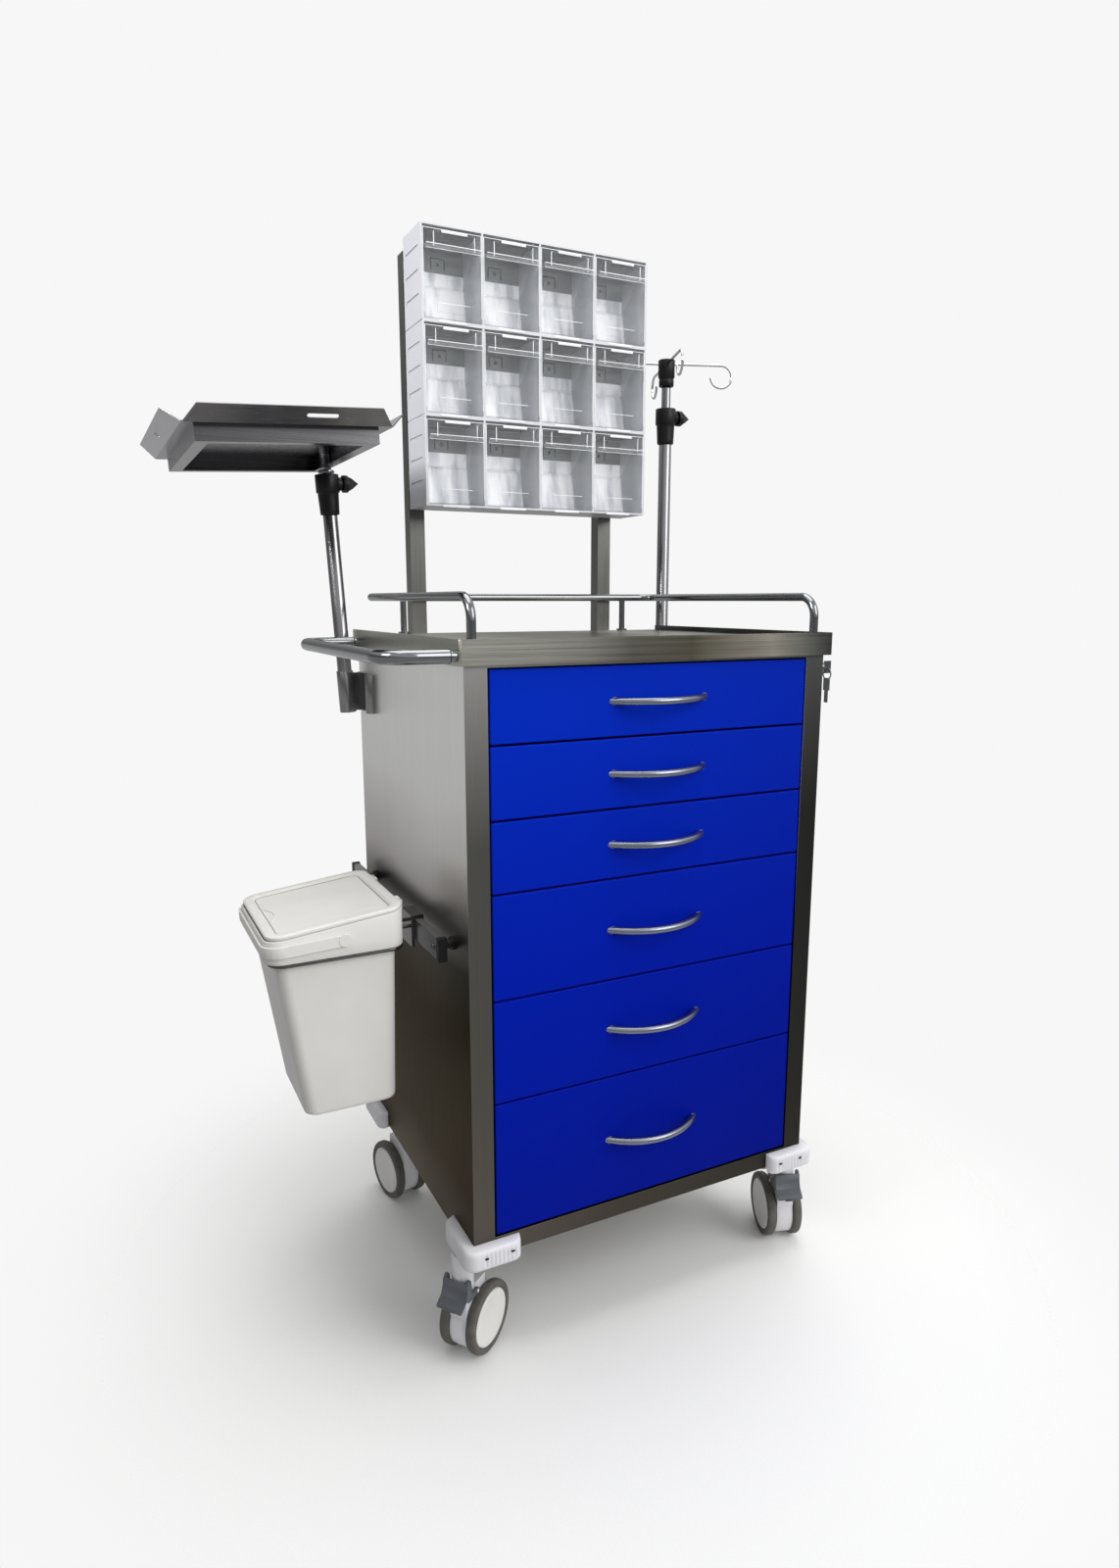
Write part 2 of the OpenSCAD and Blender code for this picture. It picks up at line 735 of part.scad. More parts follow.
// end caps and round stand-offs
module rail_fittings() {
  color(black_plastic) {
    for (y = [arail_y0 - 8, arail_y1])
      translate([-arail_x - arail_t - 1, y, arail_z - arail_h / 2 - 1]) cube([arail_t + 2, 8, arail_h + 2]);
    for (y = standoff_y) translate([0, y, arail_z]) {
      bar_x(-arail_x, -half_w - 4, 6);
      bar_x(-half_w - 4, -half_w, 9);
    }
  }
}

// rounded rectangle of wire round the bin, on a hook that slides on the rail
module waste_hoop() {
  x0 = waste_x0 + 7;
  x1 = waste_x1 - 2;
  y0 = waste_y - waste_l / 2 + 6;
  y1 = waste_y + waste_l / 2 - 6;
  bend = 18;
  z = waste_rim_z - hoop_r - 0.3;
  hook_w = 44;
  rail_face = -arail_x - arail_t;
  play = 0.3;
  color(bright_steel) {
    translate([0, 0, z]) {
      for (y = [y0, y1]) translate([0, y, 0]) bar_x(x0 + bend, x1 - bend, hoop_r);
      for (x = [x0, x1]) translate([x, 0, 0]) bar_y(y0 + bend, y1 - bend, hoop_r);
      translate([x1 - bend, y1 - bend, 0]) elbow(bend, hoop_r);
      translate([x0 + bend, y1 - bend, 0]) rotate([0, 0, 90]) elbow(bend, hoop_r);
      translate([x0 + bend, y0 + bend, 0]) rotate([0, 0, 180]) elbow(bend, hoop_r);
      translate([x1 - bend, y0 + bend, 0]) rotate([0, 0, 270]) elbow(bend, hoop_r);
      for (s = [-1, 1]) translate([0, waste_y + s * 14, 0]) bar_x(x1, rail_face - play, hoop_r);
    }
    // hook plate: in front of the rail, over its top and down behind it
    translate([rail_face - play - 4, waste_y - hook_w / 2, arail_z - 26]) cube([4, hook_w, 44.3]);
    translate([rail_face - play - 4, waste_y - hook_w / 2, arail_z + arail_h / 2 + play])
      cube([arail_t + 2 * play + 7, hook_w, 3]);
    translate([-arail_x + play, waste_y - hook_w / 2, arail_z + 8]) cube([3, hook_w, 10.3]);
  }
}

module waste_profile(inset, h) {
  translate([waste_x0 + inset, waste_y - waste_l / 2 + inset, 0])
    rounded_slab([waste_w - 2 * inset, waste_l - 2 * inset, h], waste_r - inset / 2);
}

// four rounded corners of the tapering body at one height
module waste_corners(x0, x1, y0, y1, r, z) {
  for (x = [x0 + r, x1 - r], y = [y0 + r, y1 - r])
    translate([x, y, z]) cylinder(h = 0.1, r = r, $fn = 32);
}

// tapering bucket below the rim
module waste_taper(skin) {
  drop = 3;
  hull() {
    waste_corners(waste_x0 + 12 + skin, waste_x1 - 9 - skin, waste_y - waste_l / 2 + 12 + skin,
                  waste_y + waste_l / 2 - 12 - skin, 16, waste_rim_z + 2);
    waste_corners(waste_x0 + 44 + skin, waste_x1 - 10 - skin, waste_y - waste_l / 2 + 28 + skin,
                  waste_y + waste_l / 2 - 28 - skin, 16, waste_z + (skin > 0 ? drop : 0));
  }
}

module waste_bin() {
  skin = 2.2;
  color(off_white) {
    difference() {
      union() {
        waste_taper(0);
        // deep rim, its top cut on a slant so the lid falls away from the cart
        difference() {
          translate([0, 0, waste_rim_z]) waste_profile(0, 60);
          translate([waste_x1, -300, waste_lid_z]) rotate([0, -waste_slant, 0])
            translate([-400, 0, 0]) cube([500, 500, 100]);
        }
      }
      waste_taper(skin);
      translate([0, 0, waste_rim_z + 2]) waste_profile(3, 70);
      // bores for the carrying handle's pins
      translate([bail_x, waste_y, bail_z]) bar_y(-waste_l, waste_l, bail_pin_r + fit);
    }
    // hinge lugs
    for (s = [-1, 1]) translate([waste_x1, waste_y + s * 60, waste_lid_z + 1]) difference() {
      translate([-1, -5, -12]) cube([6, 10, 14]);
      translate([3, 0, 0]) bar_y(-6, 6, 1.5 + fit);
    }
  }
}

// flat band that lies round the rim and swings up to carry the bin
module waste_handle() {
  gap = 0.5;
  band = 3;
  reach = bail_x - waste_x0;
  outer = waste_l + 2 * (gap + band);
  color(off_white) translate([bail_x, waste_y, bail_z]) {
    rotate([0, -bail_slant, 0]) translate([0, 0, -bail_h / 2]) {
      difference() {
        translate([-reach - gap - band, -outer / 2, 0])
          rounded_slab([2 * reach, outer, bail_h], waste_r + gap + band);
        translate([-reach - gap, -outer / 2 + band, -1])
          rounded_slab([2 * reach, outer - 2 * band, bail_h + 2], waste_r + gap);
        translate([0, -outer, -1]) cube([2 * reach, 2 * outer, bail_h + 2]);
      }
    }
    // round ends with their pins
    for (side = [0, 1]) mirror([0, side, 0]) translate([0, -outer / 2, 0]) {
      bar_y(-0.6, band - 0.4, bail_h / 2 + 1);
      bar_y(0, gap + band + 2.8, bail_pin_r);
    }
  }
}

module waste_lid() {
  t = 5;
  lid_l = waste_w - 2.5;
  color(off_white) {
    difference() {
      translate([waste_x1, waste_y - waste_l / 2, waste_lid_z + 0.3]) rotate([0, -waste_slant, 0])
        translate([-lid_l - 0.5, 0, 0]) difference() {
          rounded_slab([lid_l, waste_l, t], waste_r);
          translate([14, 14, 2]) rounded_slab([lid_l - 28, waste_l - 28, t], 14);
        }
      for (s = [-1, 1]) translate([waste_x1 - 6, waste_y + s * 60 - 6, waste_lid_z - 20])
        cube([20, 12, 60]);
    }
    // hinge knuckles between the lugs
    for (s = [-1, 1]) translate([waste_x1 + 3, 0, waste_lid_z + 1]) {
      translate([0, waste_y + s * 60, 0]) bar_y(-7.5, 7.5, 1.5);
      translate([0, waste_y + s * 49.5, 0]) bar_y(-3.5, 3.5, 2.5);
      translate([-5, waste_y + s * 49.5 - 3.5, 0]) cube([5, 7, 2.5]);
    }
  }
}

// ---- bumpers and casters ----

// L-shaped cover round one bottom corner of the cabinet
module bumper() {
  leg_x = 66;
  leg_y = 76;
  chamfer = 4;
  out = bumper_out;
  color(white_plastic) difference() {
    translate([-out, -out, pad_z]) {
      translate([0, 0, chamfer]) rounded_slab([leg_x + out, leg_y + out, bumper_h - chamfer], 14);
      translate([3, 3, 0]) rounded_slab([leg_x + out - 6, leg_y + out - 6, bumper_h], 12);
    }
    translate([0, 0, pad_z - 1]) cube([leg_x + out, leg_y + out, bumper_h + 2]);
    // pocket for the caster's pad
    translate([-pad_out - 0.5, pad_back - 0.5, pad_z - 1]) cube([pad, pad_l + 1, pad_t + 1.2]);
    // grip ribs and two slots on the front leg
    for (k = [0:7]) translate([8 + k * 6, -out - 1, pad_z + 8]) cube([2.5, 2, 15]);
    for (x = [12, 50]) translate([x, -out - 1, pad_z + 17]) bar_y(0, 4, 2.6);
  }
}

module corner_bumpers() {
  four_corners() mirror([1, 0, 0]) mirror([0, 1, 0]) translate([-half_w, -half_d, 0]) bumper();
}

// name suffixes fl, fr, rl, rr: where each caster stands and which way it trails
caster_turn = [36, 70, 101, 62];
caster_x = [-front_caster_x, front_caster_x, -rear_caster_x, rear_caster_x];

module at_caster(i) {
  translate([caster_x[i], (i < 2 ? -1 : 1) * caster_y, 0]) rotate([0, 0, caster_turn[i]]) children();
}

// swivel stem, head and the housing between the two wheels
module caster_fork(braked) {
  body_z = 70;
  color(white_plastic) {
    translate([0, 0, head_z]) cylinder(h = pad_z - 0.5 - head_z, r = head_r);
    translate([0, 0, head_z]) cylinder(h = pad_z + pad_t - 1 - head_z, r = stem_r);
    translate([trail, 0, wheel_r]) bar_y(-fork_w / 2, fork_w / 2, fork_r);
    translate([-head_r + 2, -fork_w / 2, body_z]) cube([trail + head_r + 6, fork_w, head_z + 2 - body_z]);
    translate([trail, 0, wheel_r]) bar_y(-fork_w / 2 - wheel_w + 3, fork_w / 2 + wheel_w - 3, axle_r);
    // pin of the brake pedal
    if (braked) translate([pedal_x, 0, pedal_z]) bar_y(-pedal_w / 2, pedal_w / 2, pedal_pin_r);
  }
}

// one wheel: tyre, dished face and hub
module wheel() {
  inner = fork_w / 2 + wheel_gap;
  outer = inner + wheel_w;
  rim = wheel_r * 0.79;
  edge = 4;
  bore_end = fork_w / 2 + wheel_w - 2.5;
  rotate_extrude() difference() {
    union() {
      translate([0, inner]) square([wheel_r - edge, wheel_w]);
      translate([wheel_r - edge - 1, inner + edge]) square([edge + 1, wheel_w - 2 * edge]);
      for (y = [inner + edge, outer - edge]) translate([wheel_r - edge, y]) circle(edge);
    }
    // groove between tyre and face, bore that stops behind the face
    translate([rim, outer - 1.5]) square([1.5, 3]);
    translate([-1, inner - 1]) square([axle_r + 1 + fit, bore_end - inner + 1]);
    translate([14, inner - 1]) square([rim - 18, 8]);
  }
}

module caster_wheels() {
  color(wheel_grey) translate([trail, 0, wheel_r]) rotate([90, 0, 0]) {
    wheel();
    mirror([0, 0, 1]) wheel();
  }
}

// foot pedal of the brake: two arms round the head and a ribbed plate in front
module caster_pedal() {
  arm_w = 5;
  arm_r = 4.5;
  plate = [[-15, 0], [-22, -3.5], [-34, -8.5], [-35.5, -12], [-23, -8], [-15, -4.5]];
  color(pedal_grey) translate([pedal_x, 0, pedal_z]) difference() {
    union() {
      for (side = [0, 1]) mirror([0, side, 0]) {
        translate([0, -pedal_w / 2, 0]) bar_y(0, arm_w, arm_r);
        translate([0, arm_w - pedal_w / 2, 0]) rotate([90, 0, 0]) linear_extrude(arm_w)
          polygon([[0, 4], [-28, -0.5], [-28, -7], [0, -4]]);
      }
      translate([-pedal_x, pedal_w / 2, 0]) rotate([90, 0, 0]) linear_extrude(pedal_w) polygon(plate);
    }
    bar_y(-pedal_w, pedal_w, pedal_pin_r + fit);
    // grip ribs across the lower half
    for (k = [0:2]) translate([-41 + 4 * k, -pedal_w, -8.9 + 1.67 * k]) cube([1.6, 2 * pedal_w, 3]);
  }
}

// ---- screws ----

module fasteners() {
  color(bright_steel) {
    // rail screws
    for (y = standoff_y) translate([0, y, arail_z]) bar_x(-arail_x - arail_t - 2, -arail_x - arail_t, 4);
    // bracket screws on both sides
    both_sides() for (z = [pole_z0 + 16, pole_z0 + 50])
      translate([0, pole_y - 50, z]) bar_x(-half_w - 5, -half_w - 3, 4);
    // bolts through the uprights into the back of the cabinet
    both_sides() for (z = [740, 900]) translate([upright_x, half_d + upright, z]) bar_y(0, 4, 6);
  }
}

cabinet_shell();
base_frame();
worktop();
guard_rail();
push_handle();
drawer_runners();
rack_uprights();
bin_housings();
accessory_rail();
rail_fittings();
corner_bumpers();
pole_sockets();
pole_collars();
lock_housing();
fasteners();
lock_key();
drawer_front(0);  // drawer_1_front
drawer_box(0);  // drawer_1_box
drawer_front(1);  // drawer_2_front
drawer_box(1);  // drawer_2_box
drawer_front(2);  // drawer_3_front
drawer_box(2);  // drawer_3_box
drawer_front(3);  // drawer_4_front
drawer_box(3);  // drawer_4_box
drawer_front(4);  // drawer_5_front
drawer_box(4);  // drawer_5_box
drawer_front(5);  // drawer_6_front
drawer_box(5);  // drawer_6_box
tilt_bin(0, 0);  // tilt_bin_r1c1
tilt_bin(0, 1);  // tilt_bin_r1c2
tilt_bin(0, 2);  // tilt_bin_r1c3
tilt_bin(0, 3);  // tilt_bin_r1c4
tilt_bin(1, 0);  // tilt_bin_r2c1
tilt_bin(1, 1);  // tilt_bin_r2c2
tilt_bin(1, 2);  // tilt_bin_r2c3
tilt_bin(1, 3);  // tilt_bin_r2c4
tilt_bin(2, 0);  // tilt_bin_r3c1
tilt_bin(2, 1);  // tilt_bin_r3c2
tilt_bin(2, 2);  // tilt_bin_r3c3
tilt_bin(2, 3);  // tilt_bin_r3c4
at_caster(0) caster_fork(true);  // caster_fl_fork
at_caster(0) caster_wheels();  // caster_fl_wheels
at_caster(0) caster_pedal();  // caster_fl_pedal
at_caster(1) caster_fork(true);  // caster_fr_fork
at_caster(1) caster_wheels();  // caster_fr_wheels
at_caster(1) caster_pedal();  // caster_fr_pedal
at_caster(2) caster_fork(false);  // caster_rl_fork
at_caster(2) caster_wheels();  // caster_rl_wheels
at_caster(3) caster_fork(false);  // caster_rr_fork
at_caster(3) caster_wheels();  // caster_rr_wheels
iv_inner_tube();
iv_hook_head();
iv_knob();
tray_stem();
tray();
tray_knob();
waste_hoop();
waste_bin();
waste_handle();
waste_lid();
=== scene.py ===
import json
import math

import bmesh
import bpy
from mathutils import Matrix, Vector


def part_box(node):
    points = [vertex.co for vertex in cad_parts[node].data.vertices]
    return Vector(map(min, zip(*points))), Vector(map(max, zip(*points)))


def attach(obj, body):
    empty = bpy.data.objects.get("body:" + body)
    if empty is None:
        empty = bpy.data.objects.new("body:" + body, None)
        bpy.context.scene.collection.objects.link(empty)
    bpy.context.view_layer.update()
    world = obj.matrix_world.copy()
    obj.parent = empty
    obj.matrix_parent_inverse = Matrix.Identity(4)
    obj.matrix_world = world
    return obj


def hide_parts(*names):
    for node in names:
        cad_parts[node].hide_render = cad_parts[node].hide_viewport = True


# The medication cart's looks. Metres, in the CAD's frame: the front faces -Y, the waste bin hangs on -X.
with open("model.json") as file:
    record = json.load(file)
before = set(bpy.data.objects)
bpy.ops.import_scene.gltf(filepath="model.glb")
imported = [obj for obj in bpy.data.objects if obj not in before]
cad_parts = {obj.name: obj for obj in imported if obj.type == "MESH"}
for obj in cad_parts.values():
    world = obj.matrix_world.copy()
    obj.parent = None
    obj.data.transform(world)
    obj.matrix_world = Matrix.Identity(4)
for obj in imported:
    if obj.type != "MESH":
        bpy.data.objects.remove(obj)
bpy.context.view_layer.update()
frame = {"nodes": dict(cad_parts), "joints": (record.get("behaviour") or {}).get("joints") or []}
NODES = frame["nodes"]
JOINTS = {joint["name"]: joint for joint in frame["joints"]}
MM = 0.001


# ---------------------------------------------------------------- materials

def rgb(red, green, blue):
    """Linear colour from 0..255 screen values."""
    def linear(c):
        c = c / 255
        return c / 12.92 if c <= 0.04045 else ((c + 0.055) / 1.055) ** 2.4
    return (linear(red), linear(green), linear(blue), 1.0)


def new_material(name, **inputs):
    """A material, its node tree and its shader; inputs are shader inputs by name, _ for a space."""
    material = bpy.data.materials.new(name)
    material.use_nodes = True
    shader = material.node_tree.nodes["Principled BSDF"]
    for key, value in inputs.items():
        shader.inputs[key.replace("_", " ")].default_value = value
    return material, material.node_tree, shader


def coordinates(tree):
    return tree.nodes.new("ShaderNodeTexCoord").outputs["Object"]


def noise(tree, stretch, detail=3.0):
    """Noise in metres of the object: stretch is cycles per metre along X, Y and Z."""
    mapping = tree.nodes.new("ShaderNodeMapping")
    mapping.inputs["Scale"].default_value = stretch
    texture = tree.nodes.new("ShaderNodeTexNoise")
    texture.inputs["Scale"].default_value = 1.0
    texture.inputs["Detail"].default_value = detail
    tree.links.new(coordinates(tree), mapping.inputs["Vector"])
    tree.links.new(mapping.outputs["Vector"], texture.inputs["Vector"])
    return texture.outputs["Fac"]


def spread(tree, value, low, high, from_low=0.3, from_high=0.7):
    """Maps from_low..from_high onto low..high, clamped; the defaults suit noise."""
    node = tree.nodes.new("ShaderNodeMapRange")
    for key, number in (("From Min", from_low), ("From Max", from_high), ("To Min", low), ("To Max", high)):
        node.inputs[key].default_value = number
    tree.links.new(value, node.inputs["Value"])
    return node.outputs["Result"]


def ramp(tree, value, stops):
    """Colour of value along stops of (position, colour)."""
    node = tree.nodes.new("ShaderNodeValToRGB")
    elements = node.color_ramp.elements
    while len(elements) < len(stops):
        elements.new(0.5)
    for element, (position, colour) in zip(elements, stops):
        element.position = position
        element.color = colour
    tree.links.new(value, node.inputs["Fac"])
    return node.outputs["Color"]


def mix(tree, kind, factor, first, second):
    """Blends two colours; factor and colours are numbers or sockets."""
    node = tree.nodes.new("ShaderNodeMix")
    node.data_type = "RGBA"
    node.blend_type = kind
    if isinstance(factor, (int, float)):
        node.inputs["Factor"].default_value = factor
    else:
        tree.links.new(factor, node.inputs["Factor"])
    for socket, value in ((node.inputs["A"], first), (node.inputs["B"], second)):
        if isinstance(value, tuple):
            socket.default_value = value
        else:
            tree.links.new(value, socket)
    return node.outputs["Result"]


def bump(tree, shader, height, strength, distance):
    """Relief from a height socket, distance in metres."""
    node = tree.nodes.new("ShaderNodeBump")
    node.inputs["Strength"].default_value = strength
    node.inputs["Distance"].default_value = distance
    tree.links.new(height, node.inputs["Height"])
    tree.links.new(node.outputs["Normal"], shader.inputs["Normal"])


def fraction_along(tree, axis, low, high):
    """0 where the axis coordinate is low, 1 where it is high, in metres."""
    split = tree.nodes.new("ShaderNodeSeparateXYZ")
    tree.links.new(coordinates(tree), split.inputs["Vector"])
    return spread(tree, split.outputs[axis], 0.0, 1.0, low, high)


def added(tree, first, second):
    """Sum of two number sockets."""
    node = tree.nodes.new("ShaderNodeMath")
    node.operation = "ADD"
    tree.links.new(first, node.inputs[0])
    tree.links.new(second, node.inputs[1])
    return node.outputs["Value"]


def facing_side(tree, low=0.55, high=0.8):
    """1 on faces that look sideways, 0 on faces that look forwards or up."""
    geometry = tree.nodes.new("ShaderNodeNewGeometry")
    split = tree.nodes.new("ShaderNodeSeparateXYZ")
    absolute = tree.nodes.new("ShaderNodeMath")
    absolute.operation = "ABSOLUTE"
    tree.links.new(geometry.outputs["Normal"], split.inputs["Vector"])
    tree.links.new(split.outputs["X"], absolute.inputs[0])
    return spread(tree, absolute.outputs["Value"], 0.0, 1.0, low, high)


# brushing marks in cycles per metre, across a sheet's grain and along it
FINE, LONG = 900.0, 5.0

# painted reflection of a dark room on the cabinet's side: colour from its foot (0) to its top (1), dark
# below and bright above
SIDE_PAINTED_REFLECTION = [
    (0.0, rgb(62, 56, 50)), (0.1, rgb(38, 32, 27)), (0.36, rgb(32, 28, 22)), (0.5, rgb(58, 56, 52)),
    (0.61, rgb(190, 186, 184)), (0.78, rgb(232, 232, 230)), (1.0, rgb(240, 240, 238))]

# painted reflection: how much of a grazing reflection the side keeps, foot to top, less towards the foot
SIDE_EDGE_TONES = [
    (0.0, rgb(222, 216, 208)), (0.1, rgb(208, 202, 194)), (0.4, rgb(203, 198, 190)),
    (0.53, rgb(212, 210, 206)), (0.62, rgb(236, 235, 234)), (1.0, rgb(248, 248, 247))]

# painted reflection on the cabinet's front posts and rails: colour foot to top, darker at the foot and
# lighter at the top
FRONT_PAINTED_REFLECTION = [
    (0.0, rgb(98, 92, 84)), (0.3, rgb(100, 98, 91)), (0.7, rgb(108, 108, 103)), (0.9, rgb(160, 158, 155)),
    (1.0, rgb(176, 174, 171))]

# painted light across the cabinet's front: tints from left (0) to right (1), bright at the left and dimmer
# to the right
ACROSS_PAINTED_LIGHT = [
    (0.0, rgb(255, 255, 255)), (0.06, rgb(250, 250, 250)), (0.4, rgb(196, 194, 190)),
    (0.95, rgb(150, 152, 152)), (1.0, rgb(146, 150, 150))]

# painted reflections along the worktop: light and dark tints from left (0) to right (1)
WORKTOP_PAINTED_REFLECTIONS = [
    (0.0, rgb(226, 226, 220)), (0.22, rgb(200, 199, 194)), (0.38, rgb(140, 138, 132)),
    (0.6, rgb(128, 124, 110)), (0.8, rgb(222, 217, 208)), (0.92, rgb(150, 152, 150)), (1.0, rgb(96, 98, 97))]


def brushed(name, grain, light, dark, rough=(0.26, 0.36), painted_bands=None, side_painted_light=None):
    """Steel brushed along one axis, grain in cycles per metre; bands are painted reflections along X."""
    material, tree, shader = new_material(name, Metallic=1.0)
    lines = noise(tree, grain, 4.0)
    colour = ramp(tree, lines, [(0.25, dark), (0.75, light)])
    # painted light: faces that look sideways get a lighter colour
    if side_painted_light:
        colour = mix(tree, "MIX", facing_side(tree, 0.35, 0.6), colour, side_painted_light)
    # painted reflections: light and dark bands along X
    if painted_bands:
        low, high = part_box("worktop")
        place = added(tree, fraction_along(tree, "X", low.x, high.x),
                      spread(tree, noise(tree, (5.0, 5.0, 5.0), 2.0), -0.05, 0.05))
        colour = mix(tree, "MULTIPLY", 1.0, colour, ramp(tree, place, painted_bands))
    smudge = noise(tree, (6.0, 6.0, 4.0), 4.0)
    colour = mix(tree, "MULTIPLY", spread(tree, smudge, 0.0, 0.25), colour, rgb(200, 197, 193))
    tree.links.new(colour, shader.inputs["Base Color"])
    tree.links.new(spread(tree, lines, *rough), shader.inputs["Roughness"])
    bump(tree, shader, lines, 0.06, 0.0001)
    return material


def cabinet_steel():
    """Vertically brushed sheet with a painted reflection of a dark room towards the floor."""
    material, tree, shader = new_material("cabinet_steel", Metallic=1.0)
    lines = noise(tree, (FINE, FINE, LONG), 3.0)
    low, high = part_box("cabinet_shell")
    wander = spread(tree, noise(tree, (4.0, 3.0, 2.0), 2.0), -0.03, 0.03)
    place = added(tree, fraction_along(tree, "Z", low.z, high.z), wander)
    # painted reflection by height on the side and the front, and painted light across the front
    side = ramp(tree, place, SIDE_PAINTED_REFLECTION)
    front = ramp(tree, place, FRONT_PAINTED_REFLECTION)
    across = ramp(tree, fraction_along(tree, "X", low.x, high.x), ACROSS_PAINTED_LIGHT)
    colour = mix(tree, "MIX", facing_side(tree), mix(tree, "MULTIPLY", 1.0, front, across), side)
    colour = mix(tree, "MULTIPLY", spread(tree, lines, 0.0, 0.12), colour, rgb(168, 166, 164))
    tree.links.new(colour, shader.inputs["Base Color"])
    # painted reflection: the side's grazing reflection is tinted darker towards its foot
    grazing = mix(tree, "MIX", facing_side(tree), rgb(255, 255, 255), ramp(tree, place, SIDE_EDGE_TONES))
    tree.links.new(grazing, shader.inputs["Specular Tint"])
    tree.links.new(spread(tree, lines, 0.3, 0.36), shader.inputs["Roughness"])
    bump(tree, shader, lines, 0.03, 0.0001)
    return material


def polished(name, colour, rough):
    """Drawn tube or turned steel with a faint haze of handling marks."""
    material, tree, shader = new_material(name, Metallic=1.0)
    haze = noise(tree, (18.0, 18.0, 18.0), 3.0)
    dim = tuple(0.86 * c for c in colour[:3]) + (1.0,)
    tree.links.new(ramp(tree, haze, [(0.25, dim), (0.75, colour)]), shader.inputs["Base Color"])
    tree.links.new(spread(tree, haze, rough * 0.85, rough * 1.2), shader.inputs["Roughness"])
    bump(tree, shader, noise(tree, (500.0, 500.0, 500.0), 2.0), 0.01, 0.0001)
    return material


def blue_paint():
    """Semi-gloss powder coat with painted shade, deeper towards the bottom drawer and darker to the right.
    """
    material, tree, shader = new_material("blue_paint", Specular_IOR_Level=0.03)
    low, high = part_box("cabinet_shell")
    # painted shade: deeper blue towards the foot
    base = ramp(tree, fraction_along(tree, "Z", low.z, high.z),
                [(0.0, rgb(0, 20, 144)), (0.5, rgb(0, 30, 174)), (1.0, rgb(0, 46, 194))])
    # painted shade: darker towards the right
    across = fraction_along(tree, "X", low.x, high.x)
    base = mix(tree, "MULTIPLY", across, base, rgb(214, 216, 226))
    cloud = noise(tree, (3.0, 3.0, 3.0), 2.0)
    tree.links.new(mix(tree, "MULTIPLY", spread(tree, cloud, 0.0, 0.25), base, rgb(215, 218, 228)),
                   shader.inputs["Base Color"])
    peel = noise(tree, (420.0, 420.0, 420.0), 2.0)
    tree.links.new(spread(tree, peel, 0.4, 0.5), shader.inputs["Roughness"])
    bump(tree, shader, peel, 0.05, 0.0001)
    return material


def plastic(name, colour, rough=0.42, grain=700.0, speck=0.12, strength=0.1, **inputs):
    """Moulded plastic: a fine grained surface with slow tonal drift."""
    material, tree, shader = new_material(name, **inputs)
    drift = noise(tree, (14.0, 14.0, 14.0), 4.0)
    tree.links.new(mix(tree, "MULTIPLY", spread(tree, drift, 0.0, speck), colour, rgb(150, 145, 138)),
                   shader.inputs["Base Color"])
    fine = noise(tree, (grain, grain, grain), 2.0)
    tree.links.new(spread(tree, fine, rough - 0.07, rough + 0.1), shader.inputs["Roughness"])
    bump(tree, shader, fine, strength, 0.0003)
    return material


def painted_light_sheet():
    """Wall seen through a clear bin: painted streaks of light, with a faint glow."""
    material, tree, shader = new_material("painted_light_sheet", Roughness=0.3)
    streaks = noise(tree, (46.0, 20.0, 9.0), 3.0)
    colour = ramp(tree, streaks, [
        (0.32, rgb(176, 180, 186)), (0.46, rgb(216, 218, 224)), (0.58, rgb(252, 253, 255))])
    tree.links.new(colour, shader.inputs["Base Color"])
    # painted light: the streaks glow, though nothing here is a lamp
    tree.links.new(colour, shader.inputs["Emission Color"])
    shader.inputs["Emission Strength"].default_value = 0.3
    tree.links.new(spread(tree, streaks, 0.2, 0.4), shader.inputs["Roughness"])
    bump(tree, shader, streaks, 0.2, 0.002)
    return material


def rubber(name, colour):
    """Tyre rubber with dust worn into it."""
    material, tree, shader = new_material(name)
    dust = noise(tree, (60.0, 60.0, 60.0), 6.0)
    tree.links.new(ramp(tree, dust, [(0.3, colour), (0.75, rgb(104, 100, 94))]), shader.inputs["Base Color"])
    tree.links.new(spread(tree, dust, 0.55, 0.8), shader.inputs["Roughness"])
    bump(tree, shader, noise(tree, (800.0, 800.0, 800.0), 4.0), 0.25, 0.0004)
    return material


def housing_plastic():
    """White moulding with painted shade on its compartments' ceilings."""
    material = plastic("housing_plastic", rgb(204, 206, 211), 0.38, speck=0.06)
    tree = material.node_tree
    shader = tree.nodes["Principled BSDF"]
    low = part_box("bin_housings")[0]
    # painted shade: faces that look down, above the housing's floor, are darkened
    geometry = tree.nodes.new("ShaderNodeNewGeometry")
    split = tree.nodes.new("ShaderNodeSeparateXYZ")
    tree.links.new(geometry.outputs["Normal"], split.inputs["Vector"])
    downward = spread(tree, split.outputs["Z"], 1.0, 0.0, -0.9, -0.6)
    above = fraction_along(tree, "Z", low.z + 10 * MM, low.z + 12 * MM)
    ceiling = tree.nodes.new("ShaderNodeMath")
    ceiling.operation = "MULTIPLY"
    tree.links.new(downward, ceiling.inputs[0])
    tree.links.new(above, ceiling.inputs[1])
    white = shader.inputs["Base Color"].links[0].from_socket
    painted_ceiling_shade = mix(tree, "MIX", ceiling.outputs["Value"], white, rgb(70, 76, 74))
    tree.links.new(painted_ceiling_shade, shader.inputs["Base Color"])
    return material


